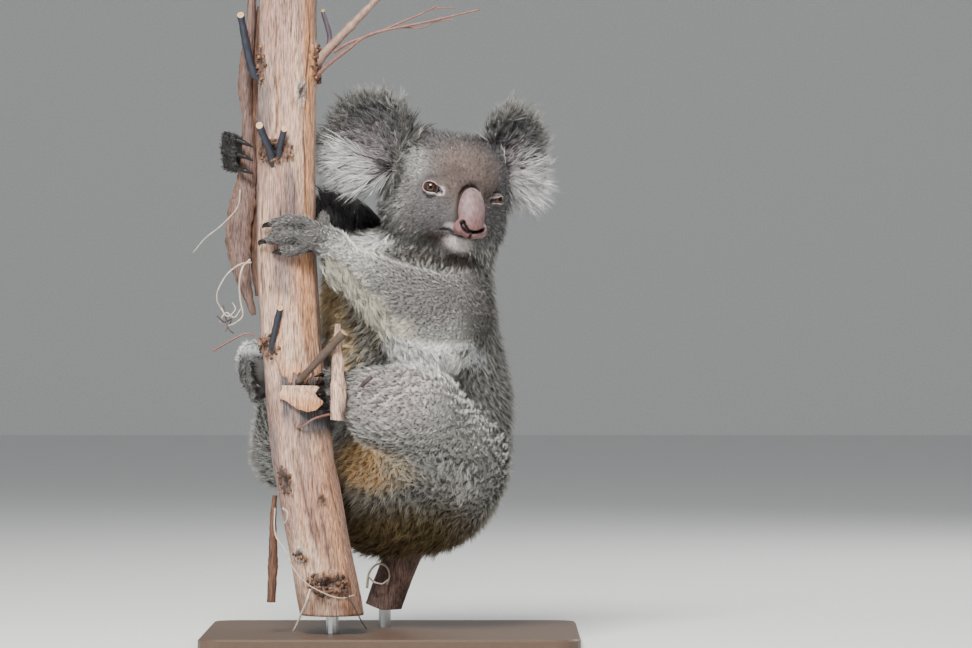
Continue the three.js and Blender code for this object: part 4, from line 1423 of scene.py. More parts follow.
def hangingStrip(name, material):
    route, halves, curl, edge, middle = peelPlan[name]
    count, sides = 150, 28
    middles = routeThrough(route, count)
    widths = np.interp(np.linspace(0, 1, count), np.linspace(0, 1, len(halves)), halves)
    ragged = ripple(middles * np.array((0, 0, 1.0)), 13, len(name))
    widths = widths * (1 + 0.10 * ragged)
    piece = sweep(name + "_look", middles, sides, widths, np.full(count, 1.1), across=(1, 0.12, 0))
    places = placesOf(piece) / mm
    ringOf = np.rint(np.interp(-places[:, 2], -middles[:, 2], np.arange(count))).astype(int)
    side = (places[:, 0] - middles[ringOf, 0]) / widths[ringOf]
    places[:, 1] += curl * (side**2 - 0.4) + 0.7 * ripple(places * np.array((1, 0, 0.3)), 14, 8)
    setPlaces(piece, places * mm)
    near = ease(np.abs(side), 0.35, 0.95) * (0.6 + 0.5 * ripple(places * np.array((1, 1, 0.2)), 7, 3))
    tint = between(stemColours[middle], stemColours[edge], np.clip(near, 0, 1))
    tint *= (1 + 0.22 * ripple(places * np.array((1, 1, 0.15)), 9, 5))[:, None]
    colourAttribute(piece, "barkTint", np.clip(tint, 0.01, 0.9))
    keep(piece, "bark", material, *([name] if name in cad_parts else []))


crumbPlan = {"seed": 12, "leastRise": 1.4, "spacing": 6, "sizes": (0.7, 2.3), "squash": (0.6, 1.25)}


def makeCrumbs(material):
    # Crumbly lumps of old bark and gum round the knots that stand out
    deselectAll()
    bpy.ops.mesh.primitive_ico_sphere_add(subdivisions=2, radius=1)
    lump = bpy.context.object
    points = placesOf(lump)
    corners = np.empty(len(lump.data.loops), dtype=np.int32)
    lump.data.loops.foreach_get("vertex_index", corners)
    bpy.data.objects.remove(lump)
    draw = np.random.default_rng(crumbPlan["seed"])
    places, faces, tints = [], [], []
    for at, middle, wide, tall, up, *_ in stemKnots:
        if up < crumbPlan["leastRise"]:
            continue
        for _ in range(int(wide * tall / crumbPlan["spacing"])):
            way, reach = draw.uniform(0, 2 * math.pi), draw.uniform(0.35, 1.05)
            turn = at + math.degrees(math.cos(way) * reach * wide / 33)
            height = middle + math.sin(way) * reach * tall
            size = draw.uniform(*crumbPlan["sizes"]) * (0.6 + 0.02 * (wide + tall))
            spot = roundStem(turn, 0.55 * up + draw.uniform(0, 1.2), height)
            lumpy = points * draw.uniform(*crumbPlan["squash"], 3)
            lumpy *= (1 + 0.3 * ripple(points, 1.6, len(faces)))[:, None]
            faces.append(corners.reshape(-1, 3) + len(places) * len(points))
            places.append(spot + lumpy * size)
            dark, light = np.array(stemColours["dark"]), np.array(stemColours["orange"])
            tints.append(flatColour(dark + 0.7 * (light - dark) * draw.random() ** 3.5, len(points)))
    piece = meshFrom("knotCrumbs", np.vstack(places) * mm, np.vstack(faces))
    colourAttribute(piece, "barkTint", np.vstack(tints))
    smoothed(piece)
    keep(piece, "bark", material)


flapPlan = {
    # (turn round the stem, distance off it, half width)
    "steps": [(-24, 1.8, 7), (-8, 3, 8.5), (8, 4.5, 12), (22, 6, 13.5), (32, 8, 11)],
    "top": 288,
    "rings": 90,
}


def makeFlap(material):
    # A pale tongue of bark that stands off the stem over the toes
    steps, top, count = flapPlan["steps"], flapPlan["top"], flapPlan["rings"]
    at = np.linspace(0, len(steps) - 1, count)
    turn, off, half = (np.interp(at, range(len(steps)), column) for column in zip(*steps))
    half *= 1 + 0.08 * np.sin(at * 9)
    middles = roundStem(turn, off + 1.1, top - half)
    piece = sweep("bark_flap_look", middles, 32, half, np.full(count, 1.0), across=(0, 0, 1))
    places = placesOf(piece) / mm
    height = (top - places[:, 2]) / 26
    places[:, 1] -= 2.0 * height**2 * ease(places[:, 0], -100, -80)
    setPlaces(piece, places * mm)
    low = np.clip(height + 0.3 * ripple(places, 9, 3), 0, 1)
    tint = between(np.array(stemColours["cream"]) * 1.15, stemColours["orange"], low)
    colourAttribute(piece, "barkTint", np.clip(tint, 0, 0.9))
    keep(piece, "bark", material, "bark_flap")


shootPlan = {
    # node: (places, radii at root and tip, colour of its bark)
    "stub_top_left": ([(-140, -68, 618), (-151, -72, 634), (-163, -78, 692)], (5.4, 3.9), "blue"),
    "stub_pair_outer": ([(-125, -84, 524), (-131, -95, 544), (-142, -103, 571)], (5.2, 3.9), "blue"),
    "stub_pair_inner": ([(-121, -84, 526), (-119, -97, 545), (-113, -104, 567)], (4.6, 3.3), "blue"),
    "stub_middle": ([(-122, -80, 324), (-127, -92, 333), (-118, -99, 374)], (4.5, 3.2), "blue"),
    "stub_top_right": ([(-82, -52, 636), (-67, -46, 662), (-75, -44, 698)], (3.6, 2.6), "mauve"),
    "broken_twig": ([(-100, -93, 291), (-80, -111, 312), (-49, -124, 345)], (3.2, 4.7), "quill"),
    "twig_thick": ([(-86, -62, 630), (-72, -72, 647), (-38, -76, 682), (0, -78, 721)], (6.6, 3.2), "tan"),
    "twig_long": (
        [(-84, -66, 617), (-72, -77, 631), (-45, -82, 652), (-20, -84, 668), (40, -86, 681), (96, -86, 694)],
        (2.5, 1.1),
        "redStalk",
    ),
}
shootColours = {
    "blue": (0.017, 0.019, 0.030),
    "mauve": (0.07, 0.055, 0.07),
    "quill": (0.085, 0.055, 0.04),
    "tan": (0.27, 0.165, 0.125),
    "redStalk": (0.19, 0.085, 0.065),
    "darkStalk": (0.075, 0.05, 0.05),
    "dryStalk": (0.50, 0.42, 0.34),
    "cut": (0.66, 0.43, 0.22),
    "heart": (0.50, 0.27, 0.12),
}
looseStalks = {
    # name: (colour, places in millimetres, radii at both ends)
    "vineCurl": (
        "dryStalk",
        [
            (-152, -78, 424), (-160, -84, 416), (-163, -86, 402), (-162, -82, 380),
            (-160, -84, 364), (-167, -88, 356), (-176, -86, 352),
        ],
        (1.1, 0.8),
    ),
    "vineLoop": (
        "dryStalk",
        [
            (-151, -78, 421), (-163, -86, 418), (-177, -92, 407),
            (-186, -92, 391), (-187, -90, 380), (-183, -86, 370),
        ],
        (1.0, 0.7),
    ),
    "tangleA": (
        "dryStalk",
        [(-183, -86, 371), (-175, -92, 363), (-167, -88, 370), (-171, -84, 377)],
        (0.9, 0.6),
    ),
    "tangleB": (
        "dryStalk",
        [(-185, -84, 356), (-177, -90, 366), (-168, -92, 361), (-162, -88, 371)],
        (0.9, 0.6),
    ),
    "tangleC": (
        "darkStalk",
        [(-187, -90, 363), (-180, -86, 355), (-172, -82, 359), (-178, -86, 347)],
        (1.2, 0.7),
    ),
    "tangleD": ("darkStalk", [(-181, -84, 374), (-176, -90, 351), (-169, -86, 344)], (1.0, 0.7)),
    "redTwig": (
        "redStalk",
        [(-192, -92, 325), (-175, -90, 335), (-156, -86, 343), (-139, -86, 335)],
        (1.3, 1.0),
    ),
    "paleFibre": (
        "dryStalk",
        [(-214, -70, 432), (-201, -74, 447), (-182, -78, 462), (-166, -84, 480), (-162, -88, 499)],
        (0.5, 0.8),
    ),
    "redTwigLow": (
        "redStalk",
        [(-101, -94, 242), (-93, -99, 245), (-82, -100, 252), (-65, -92, 257)],
        (1.1, 1.4),
    ),
    "mauveStub": ("darkStalk", [(-30, -124, 288), (-24, -131, 293), (-19, -134, 297)], (2.2, 2.6)),
    "fibreLow": (
        "dryStalk",
        [
            (-125, -84, 155), (-124, -86, 126), (-114, -92, 109), (-102, -98, 89),
            (-85, -104, 70), (-54, -102, 60), (-39, -96, 61),
        ],
        (1.0, 0.6),
    ),
    "fibreRight": (
        "darkStalk",
        [(-51, -104, 68), (-41, -102, 52), (-32, -98, 37), (-25, -92, 25)],
        (0.9, 0.8),
    ),
    "fibreLeft": (
        "dryStalk",
        [(-86, -102, 68), (-90, -104, 53), (-98, -100, 37), (-105, -94, 23)],
        (1.6, 1.1),
    ),
    "curlLow": (
        "dryStalk",
        [(-116, -90, 155), (-111, -96, 152), (-111, -97, 144), (-115, -92, 138)],
        (1.2, 0.8),
    ),
    "seatCurl": (
        "dryStalk",
        [(-28, 22, 63), (-26, 18, 79), (-17, 14, 89), (-7, 14, 87), (-3, 18, 77), (-6, 20, 67)],
        (1.6, 0.9),
    ),
    "seatCurlSmall": ("dryStalk", [(-25, 20, 74), (-20, 14, 69), (-11, 14, 67), (-5, 16, 72)], (1.2, 0.8)),
    "twigSecond": (
        "redStalk",
        [(-61, -78, 649), (-44, -82, 659), (-20, -84, 667), (10, -84, 680), (32, -85, 689), (50, -86, 698)],
        (1.9, 0.9),
    ),
    "twigTip": ("redStalk", [(41, -85, 694), (55, -86, 696), (70, -86, 696)], (1.0, 0.6)),
    "twigBack": ("redStalk", [(10, -84, 675), (32, -84, 674), (49, -85, 681), (67, -86, 683)], (1.1, 0.6)),
    "fibreTop": (
        "darkStalk",
        [(-145, -92, 578), (-143, -94, 572), (-138, -92, 559), (-132, -92, 542)],
        (0.8, 0.8),
    ),
}


def makeShoot(name, places, radii, colour, material, node=None):
    long = sum(math.dist(a, b) for a, b in zip(places, places[1:]))
    count, sides = max(16, int(long / 1.6)), 20 if max(radii) > 1.5 else 8
    middles = routeThrough(places, count)
    at = np.linspace(0, 1, count)
    radius = radii[0] + (radii[1] - radii[0]) * at**0.6
    if node:
        radius = radius * (1 + 0.05 * np.sin(at * long / 6) + 0.04 * np.sin(at * long / 2.3 + 1))
        if name == "twig_thick":
            radius = radius + 1.3 * np.exp(-(((at - 0.52) / 0.035) ** 2))
    else:
        draw = np.random.default_rng(len(name) * 7 + int(long))
        middles = middles + np.sin(at * long / 9 + 3)[:, None] * draw.normal(0, 0.5, 3)
    piece = sweep(name + "_look", middles, sides, radius, radius, cut=0.1)
    if name.startswith("stub"):
        # the cut slopes towards the front
        places = placesOf(piece) / mm
        ahead = unit(middles[-1] - middles[-3])
        back = (middles[-1] - places) @ ahead
        nearEnd = np.clip(1 - back / 9, 0, 1.1) * (back < 9)
        toFront = middles[-1, 1] + radii[1] - places[:, 1] + 1.2 * back * ahead[1]
        places -= ahead * (0.8 * nearEnd * np.clip(toFront, 0, 2 * radii[1]))[:, None]
        setPlaces(piece, places * mm)
    tint = flatColour(shootColours[colour], len(piece.data.vertices))
    mixedIn = ripple(placesOf(piece) / mm, 12, len(name))
    tint = tint * (1 + 0.22 * mixedIn)[:, None]
    if name.startswith("stub") or name == "broken_twig":
        # the cut end shows pale wood round a darker heart
        tint[-2 - sides : -2] = shootColours["cut"]
        tint[-1] = shootColours["heart"]
    colourAttribute(piece, "barkTint", np.clip(tint, 0.005, 0.9))
    keep(piece, "shoot", material, *([node] if node else []))


seatPlan = {
    "route": [(-12, 45, 38), (-4, 45, 60), (9, 44, 92), (22, 43, 122)],
    "radius": 20.0,
    "rings": 90,
    "sides": 96,
    "low": 38,
}


def makeSeat(material):
    count, radius, low = seatPlan["rings"], seatPlan["radius"], seatPlan["low"]
    middles = routeThrough(seatPlan["route"], count)
    middles[:, 2] = np.maximum(middles[:, 2], low)

    def bumps(rings, turns):
        along, turn = np.meshgrid(rings * 0.35, turns, indexing="ij")
        places = np.stack([along, np.cos(turn) * radius, np.sin(turn) * radius], axis=-1)
        return 0.7 * ripple(places.reshape(-1, 3), 22, 31).reshape(along.shape)

    thick = np.full(count, radius)
    piece = sweep("seatStemLook", middles, seatPlan["sides"], thick, thick, shape=bumps, cut=0.05)
    places = placesOf(piece) / mm
    places[:, 2] = np.maximum(places[:, 2], low)
    setPlaces(piece, places * mm)
    stretched = places * np.array((1, 1, 0.25))
    tint = flatColour(stemColours["seat"], len(places))
    layOver(tint, stemColours["pink"], 0.45 * ease(ripple(stretched, 30, 3), -0.1, 0.9))
    layOver(tint, stemColours["dark"], 0.9 * np.exp(-(fromMiddle(places, (20, 25, 88), (3, 8, 6)) ** 2)))
    colourAttribute(piece, "barkTint", np.clip(tint, 0.01, 0.9))
    keep(piece, "bark", material, "seat_stem")


# ---- eyes, nose and claws

# Radius of the pupil and rise of the cornea, in millimetres, and what both eyes turn towards
ballPlan = {"pupil": 2.7, "cornea": 0.8, "looksTo": (0.0, -1.0, 0.12), "turned": 0.38}


def makeEye(side, material):
    piece = ball(96, 64)
    piece.name = "eyeLook" + side.title()
    directions = placesOf(piece)
    turned = ballPlan["turned"]
    looksTo = headAxes @ np.array(ballPlan["looksTo"])
    gaze = unit((1 - turned) * eyePlan[side + "Axes"][2] + turned * looksTo)
    across = unit(np.cross(gaze, (0, 0, 1)))
    upward = np.cross(across, gaze)
    angle = np.arccos(np.clip(directions @ gaze, -1, 1))
    far = angle * eyePlan["radius"]
    bulge = ballPlan["cornea"] * (1 - ease(far, 3.4, 6.4))
    setPlaces(piece, onHead(directions * (eyePlan["radius"] + bulge)[:, None] + eyePlan[side]))
    pupilShape = np.hypot(directions @ across * 1.1, directions @ upward) * eyePlan["radius"]
    valueAttribute(piece, "iris", far)
    valueAttribute(piece, "pupil", np.where(angle < 1.2, pupilShape, 9.0))
    smoothed(piece)
    keep(piece, "eye", material, "eye_" + side)


nosePlan = {
    "parts": [
        # (centre, radii, lean in degrees) in the head's frame
        ((1.2, 68.0, -15.0), (15.4, 12.2, 28.0), 15),
        ((1.0, 72.5, -33.0), (14.0, 10.0, 12.5), 0),
        ((-9.8, 69.5, -33.5), (8.4, 9.2, 9.2), 0),
        ((12.6, 69.5, -33.5), (8.6, 9.4, 9.2), 0),
    ],
    # from the groove outwards, on the animal's right and on its left
    "nostrils": {
        -1: [(3.0, -38.6), (5.6, -37.2), (9.3, -32.6), (10.8, -28.4)],
        1: [(2.6, -38.4), (7.6, -37.0), (12.6, -34.6), (15.4, -32.6)],
    },
    "groove": -1.2,
    "bumps": 0.10,
    "voxel": 0.0007,
    "skin": (0.25, 0.162, 0.165),
    "low": (0.20, 0.085, 0.088),
    "top": (0.20, 0.14, 0.135),
    "mottle": (0.125, 0.092, 0.08),
    "inside": (0.010, 0.005, 0.005),
}


def makeNose(material):
    blobs = []
    for centre, radii, lean in nosePlan["parts"]:
        blob = ball(48, 32)
        turn = math.radians(lean)
        local = placesOf(blob) * np.array(radii)
        y = local[:, 1] * math.cos(turn) - local[:, 2] * math.sin(turn)
        z = local[:, 1] * math.sin(turn) + local[:, 2] * math.cos(turn)
        setPlaces(blob, onHead(np.stack([local[:, 0], y, z], axis=1) + np.array(centre)))
        blobs.append(blob)
    joined(blobs)
    piece = blobs[0]
    piece.name = "noseLook"
    applied(piece, "REMESH", mode="VOXEL", voxel_size=nosePlan["voxel"])
    smoothOver(piece, 22)
    local = intoHead(placesOf(piece))
    outward = normalsOf(piece) @ headAxes.T
    front = ease(outward[:, 1], 0.0, 0.5)
    near = np.full(len(local), 9.0)
    off = local[:, 0] - nosePlan["groove"]
    for sign, steps in nosePlan["nostrils"].items():
        own = np.stack([off * sign, local[:, 2]], axis=1)
        for start, end in zip(steps, steps[1:]):
            away, _ = toLine(own, np.array(start), np.array(end))
            near = np.minimum(near, away + (0.7 if sign == 1 else 0.0))
    hole = front * (1 - ease(near, 1.2, 3.6))
    fore = ease(outward[:, 1], -0.5, 0.0)
    groove = fore * np.exp(-((off / 1.9) ** 2)) * (1 - ease(local[:, 2], -38, -34))
    wing = np.exp(-(((np.abs(local[:, 0]) - 12.5) / 4.0) ** 2) - ((local[:, 2] + 36.5) / 5.5) ** 2) * front
    change = -6.0 * hole - 2.2 * groove + 0.9 * wing
    change += nosePlan["bumps"] * ripple(local, 2.6, 8) * front
    local += outward * change[:, None]
    setPlaces(piece, onHead(local))
    low = 1 - ease(local[:, 2], -33, -12)
    top = ease(local[:, 2], -4, 14)
    tint = flatColour(nosePlan["skin"], len(local))
    layOver(tint, nosePlan["low"], 0.9 * low)
    layOver(tint, nosePlan["top"], 0.6 * top)
    patchy = np.clip(0.5 + 0.5 * ripple(local, 9, 2), 0, 1) * (0.5 + 0.5 * ease(local[:, 0], -8, 14))
    layOver(tint, nosePlan["mottle"], 0.8 * patchy)
    tint *= (1 + 0.3 * ripple(local, 4.5, 12))[:, None]
    speck = ease(ripple(local, 3.0, 19), 0.55, 1.0)[:, None]
    tint *= 1 - 0.5 * speck
    # painted shade deep in the nostrils and down the groove
    layOver(tint, nosePlan["inside"], np.clip(1.8 * hole + 1.3 * groove, 0, 1))
    colourAttribute(piece, "noseTint", np.clip(tint, 0.004, 0.9))
    smoothed(piece)
    keep(piece, "nose_skin", material, "nose")


clawPlan = {"voxel": 0.0007, "grow": 0.0005}


def makeClaws(material):
    clawNames = [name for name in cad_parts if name.startswith("claw_")]
    piece = copyOfNodes(clawNames, "clawsLook")
    applied(piece, "REMESH", mode="VOXEL", voxel_size=clawPlan["voxel"])
    applied(piece, "DISPLACE", strength=clawPlan["grow"], mid_level=0.0)
    smoothOver(piece, 4)
    smoothed(piece)
    keep(piece, "claw", material, *clawNames)


# ---- long locks on the ears

lockPlan = {
    "candidates": 90000,
    # which way the locks stream, in the head's frame
    "sweep": {"right": (-1.0, 0.35, -0.30), "left": (0.95, 0.30, -0.42)},
    # how many at most
    "Fringe": 1100,
    "White": 250,
    "Streaks": 420,
    "whiteRoot": (0.42, 0.38, 0.38),
    "fringeRoot": (0.3, 0.29, 0.29),
    # (low on the ear, high on the ear)
    "streakTips": ((0.46, 0.44, 0.45), (0.15, 0.145, 0.15)),
    "streakRoots": ((0.19, 0.15, 0.15), (0.04, 0.038, 0.04)),
}


def plantLocks(ground, material):
    sown = ground.sow(lockPlan["candidates"], 77)
    places, normals = sown[:2]
    known = coatAt(places, normals)
    inEar = np.flatnonzero(known["ear"] > 0.4)
    local = intoHead(places[inEar])
    ahead = normals[inEar] @ headAxes[1]
    draw = np.random.default_rng(21)
    for side, sign in (("right", -1), ("left", 1)):
        sweepTo = np.array(lockPlan["sweep"][side])
        _, own, reach = earShare(places[inEar], side)
        mine = local[:, 0] * sign > 40
        outward = unit(local - np.array(earPlan[side]["root"]))
        # the fringe round the rim
        rim = someOf(draw, np.flatnonzero(mine & (reach > 0.74)), lockPlan["Fringe"])
        low = ease(-own[rim, 2], 10, 34)
        rimWay = outward[rim] + 0.35 * draw.normal(size=(len(rim), 3)) + low[:, None] * 0.8 * sweepTo
        # the long white locks from the lower inner side
        inner = mine & (ahead > 0.2) & (own[:, 2] < -15) & (own[:, 0] * sign < 20) & (reach < 0.95)
        inner = someOf(draw, np.flatnonzero(inner), lockPlan["White"])
        innerWay = sweepTo + 0.22 * draw.normal(size=(len(inner), 3))
        innerWay += 0.55 * outward[inner]
        # darker hairs that stream across the inside
        cross = np.flatnonzero(mine & (ahead > 0.2) & (own[:, 2] > -26) & (reach < 0.9))
        cross = someOf(draw, cross, lockPlan["Streaks"])
        crossWay = 0.8 * outward[cross] + 0.6 * sweepTo * (1, 1, 0.4)
        crossWay += 0.25 * draw.normal(size=(len(cross), 3))
        rimLength = 16 + 6 * low + draw.uniform(-6, 9, len(rim))
        rimLength = rimLength + 9 * draw.random(len(rim)) ** 4
        for label, few, headWay, long, lean in (
            ("Fringe", rim, rimWay, rimLength, 0.35),
            ("White", inner, innerWay, draw.uniform(24, 44, len(inner)), 0.30),
            ("Streaks", cross, crossWay, draw.uniform(12, 24, len(cross)), 0.26),
        ):
            at = inEar[few]
            lie = outOfHead(unit(headWay))
            lie = unit(lie - normals[at] * (lie * normals[at]).sum(axis=1, keepdims=True))
            if label == "White":
                tips = flatColour(coatColours["white"][0], len(few))
                roots = flatColour(lockPlan["whiteRoot"], len(few))
            elif label == "Streaks":
                upper = ease(own[few, 2], -24, 26)
                tips = between(*lockPlan["streakTips"], upper) * (1.8 if side == "left" else 1.0)
                roots = between(*lockPlan["streakRoots"], upper)
            else:
                mixIn = 0.75 * low
                tips = between(coatColours["rim"][0], coatColours["white"][0], mixIn)
                roots = between(coatColours["rim"][1], lockPlan["fringeRoot"], mixIn)
                headSide = (ease(-own[few, 0] * sign, 6, 24) * (1 - 0.4 * mixIn))[:, None]
                tips *= 1 - 0.6 * headSide
                roots *= 1 - 0.6 * headSide
            spots = spotsAt(
                sown,
                at,
                lie=lie,
                lean=lean,
                length=long * mm,
                spread=2.2 * mm,
                width=0.30 * mm,
                gather=0.75 if label == "White" else 0.5,
                sway=0.5,
                bow=0.10,
                tip=tips * draw.uniform(0.55, 1.25, (len(few), 1)),
                root=roots,
            )
            growTufts(f"earLocks{label}{side.title()}", spots, 4, 3, 300 + sign, material)


# ---- longer wool where it overhangs

fluffPlan = {
    # name: (line it grows along, reach in millimetres, lie, lengths, colour, tufts)
    "Elbow": (
        [(-6, -100, 335), (40, -112, 316), (96, -82, 314)],
        19, (0.25, -0.5, -0.8), (11, 21), "whiter", 620,
    ),
    "Forearm": (
        [(-66, -96, 420), (-44, -102, 398), (-14, -108, 362)],
        15, (0.15, -0.35, -0.95), (18, 33), "cream", 560,
    ),
    "Belly": (
        [(-48, -50, 320), (-60, -36, 360), (-62, -30, 410)],
        24, (-0.95, -0.25, -0.35), (16, 26), "gold", 420,
    ),
    # the far shoulder's dark fluff: the fur's own dark grey, partly painted shade behind the ear
    "Shoulder": (
        [(-64, 40, 462), (-20, 62, 440), (24, 60, 440)],
        34, (-0.35, 0.0, 0.95), (20, 34), "earDark", 700,
    ),
    "Flank": ([(40, -100, 210), (84, -70, 180)], 26, (0.1, -0.4, -0.9), (10, 16), "bright", 260),
}
fluffCandidates = 70000


def plantFluff(ground, material):
    sown = ground.sow(fluffCandidates, 55)
    places, normals = sown[:2]
    draw = np.random.default_rng(56)
    point = places / mm
    for number, (name, (route, reach, lie, lengths, colour, most)) in enumerate(fluffPlan.items()):
        route = np.array(route, dtype=float)
        near = np.min([toLine(point, *ends)[0] for ends in zip(route, route[1:])], axis=0)
        few = np.flatnonzero((near < reach * draw.uniform(0.4, 1.0, len(near))) & (normals[:, 1] < 0.3))
        few = someOf(draw, few, most)
        count = len(few)
        way = np.array(lie) + 0.16 * draw.normal(size=(count, 3))
        way -= normals[few] * (way * normals[few]).sum(axis=1, keepdims=True)
        tone = draw.uniform(0.72, 1.05, (count, 1))
        spots = spotsAt(
            sown,
            few,
            lie=unit(way),
            lean=0.42,
            length=draw.uniform(*lengths, count) * mm,
            spread=2.4 * mm,
            width=0.30 * mm,
            gather=0.62,
            sway=0.4,
            bow=0.16,
            tip=np.array(coatColours[colour][0]) * tone,
            root=np.array(coatColours[colour][1]) * tone,
        )
        growTufts("coatFluff" + name, spots, 7, 2, 400 + number, material)


# ---- materials


def add(tree, kind, **settings):
    made = tree.nodes.new(kind)
    for key, value in settings.items():
        setattr(made, key, value)
    return made


def newMaterial(name, **settings):
    material = bpy.data.materials.new(name)
    material.use_nodes = True
    shader = material.node_tree.nodes["Principled BSDF"]
    for key, value in settings.items():
        shader.inputs[key.replace("_", " ")].default_value = value
    return material, material.node_tree, shader


def makeGrain():
    # Shared: a stretched grain from the place, as a value about 0.5 and a normal
    group = bpy.data.node_groups.new("grain", "ShaderNodeTree")
    group.interface.new_socket("Scale", in_out="INPUT", socket_type="NodeSocketVector")
    group.interface.new_socket("Bump", in_out="INPUT", socket_type="NodeSocketFloat")
    group.interface.new_socket("Value", in_out="OUTPUT", socket_type="NodeSocketFloat")
    group.interface.new_socket("Normal", in_out="OUTPUT", socket_type="NodeSocketVector")
    entry, leave = add(group, "NodeGroupInput"), add(group, "NodeGroupOutput")
    place = add(group, "ShaderNodeTexCoord")
    times = add(group, "ShaderNodeVectorMath", operation="MULTIPLY")
    noise = add(group, "ShaderNodeTexNoise")
    noise.inputs["Scale"].default_value = 1.0
    noise.inputs["Detail"].default_value = 5.0
    noise.inputs["Roughness"].default_value = 0.62
    bump = add(group, "ShaderNodeBump")
    bump.inputs["Distance"].default_value = 0.001
    group.links.new(place.outputs["Object"], times.inputs[0])
    group.links.new(entry.outputs["Scale"], times.inputs[1])
    group.links.new(times.outputs[0], noise.inputs["Vector"])
    group.links.new(noise.outputs[0], bump.inputs["Height"])
    group.links.new(entry.outputs["Bump"], bump.inputs["Strength"])
    group.links.new(noise.outputs[0], leave.inputs["Value"])
    group.links.new(bump.outputs["Normal"], leave.inputs["Normal"])
    return group


grain = makeGrain()


def mapped(tree, value, given=(0.0, 1.0), wanted=(0.0, 1.0)):
    made = add(tree, "ShaderNodeMapRange")
    for name, number in zip(("From Min", "From Max", "To Min", "To Max"), (*given, *wanted)):
        made.inputs[name].default_value = number
    tree.links.new(value, made.inputs["Value"])
    return made.outputs["Result"]


def attributeOf(tree, name, output="Fac"):
    return add(tree, "ShaderNodeAttribute", attribute_name=name).outputs[output]


def colourRamp(tree, value, steps):
    made = add(tree, "ShaderNodeValToRGB")
    stops = made.color_ramp.elements
    for number, (position, colour) in enumerate(steps):
        stop = stops[number] if number < 2 else stops.new(position)
        stop.position, stop.color = position, (*colour, 1)
    tree.links.new(value, made.inputs["Fac"])
    return made.outputs["Color"]


def useGrain(tree, scale, bump, low, high):
    made = add(tree, "ShaderNodeGroup")
    made.node_tree = grain
    made.inputs["Scale"].default_value = scale
    made.inputs["Bump"].default_value = bump
    return made, mapped(tree, made.outputs["Value"], (0.3, 0.7), (low, high))


def timesColour(tree, colour, factor):
    times = add(tree, "ShaderNodeVectorMath", operation="MULTIPLY")
    tree.links.new(colour, times.inputs[0])
    tree.links.new(factor, times.inputs[1])
    return times.outputs[0]


def tintedMaterial(name, attribute, scale, bump, low, high, **settings):
    # A colour kept on the piece, broken up by a fine grain
    material, tree, shader = newMaterial(name, **settings)
    tint = attributeOf(tree, attribute, "Color")
    made, shade = useGrain(tree, scale, bump, low, high)
    tree.links.new(timesColour(tree, tint, shade), shader.inputs["Base Color"])
    tree.links.new(made.outputs["Normal"], shader.inputs["Normal"])
    return material


def coatMaterial():
    material, tree, shader = newMaterial("koalaCoat", Roughness=0.72, Specular_IOR_Level=0.18)
    share = colourRamp(tree, attributeOf(tree, "along"), [(0.08, (0, 0, 0)), (0.72, (1, 1, 1))])
    blend = add(tree, "ShaderNodeMix", data_type="RGBA")
    tree.links.new(share, blend.inputs["Factor"])
    tree.links.new(attributeOf(tree, "coatRoot", "Color"), blend.inputs[6])
    tree.links.new(attributeOf(tree, "coatTip", "Color"), blend.inputs[7])
    # one strand in a few is darker at the tip, as an agouti coat is
    darker = mapped(tree, attributeOf(tree, "strand"), (0.76, 0.86), (1.0, 0.40))
    shade = mapped(tree, attributeOf(tree, "tuft"), wanted=(0.74, 1.26))
    both = add(tree, "ShaderNodeMath", operation="MULTIPLY")
    tree.links.new(darker, both.inputs[0])
    tree.links.new(shade, both.inputs[1])
    tree.links.new(timesColour(tree, blend.outputs[2], both.outputs[0]), shader.inputs["Base Color"])
    return material


irisSteps = [
    # (distance from the pupil's middle in centimetres, colour)
    (0.26, (0.060, 0.020, 0.009)),
    (0.46, (0.034, 0.012, 0.007)),
    (0.58, (0.014, 0.007, 0.005)),
    (0.72, (0.010, 0.006, 0.005)),
    (0.86, (0.09, 0.07, 0.07)),
]


def eyeMaterial():
    wet = {"Roughness": 0.1, "Coat_Weight": 0.7, "Coat_Roughness": 0.02, "Specular_IOR_Level": 0.2}
    material, tree, shader = newMaterial("koalaEye", **wet)
    share = add(tree, "ShaderNodeMath", operation="DIVIDE")
    share.inputs[1].default_value = 10.0
    tree.links.new(attributeOf(tree, "iris"), share.inputs[0])
    iris = colourRamp(tree, share.outputs[0], irisSteps)
    _, shade = useGrain(tree, (900.0, 900.0, 900.0), 0.0, 0.75, 1.25)
    edge = (ballPlan["pupil"] - 0.35, ballPlan["pupil"] + 0.15)
    hole = mapped(tree, attributeOf(tree, "pupil"), edge)
    coloured = timesColour(tree, iris, shade)
    tree.links.new(timesColour(tree, coloured, hole), shader.inputs["Base Color"])
    return material


def plainMaterial(name, colour, **settings):
    material, tree, shader = newMaterial(name, **settings)
    made, shade = useGrain(tree, (160.0, 160.0, 160.0), 0.15, 0.93, 1.07)
    paint = add(tree, "ShaderNodeRGB")
    paint.outputs[0].default_value = (*colour, 1)
    tree.links.new(timesColour(tree, paint.outputs[0], shade), shader.inputs["Base Color"])
    tree.links.new(made.outputs["Normal"], shader.inputs["Normal"])
    return material


# ---- the whole model

coat = coatMaterial()
bark = tintedMaterial("gumBark", "barkTint", (700.0, 700.0, 75.0), 1.0, 0.15, 1.75, Roughness=0.8)
shoot = tintedMaterial("shootBark", "barkTint", (500.0, 500.0, 160.0), 0.4, 0.7, 1.3, Roughness=0.5)
damp = {"Roughness": 0.46, "Specular_IOR_Level": 0.3}
noseSkin = tintedMaterial("noseSkin", "noseTint", (1100.0, 1100.0, 1100.0), 0.35, 0.85, 1.15, **damp)
horn = plainMaterial("clawHorn", (0.009, 0.008, 0.008), Roughness=0.34, Specular_IOR_Level=0.3)
glassy = eyeMaterial()

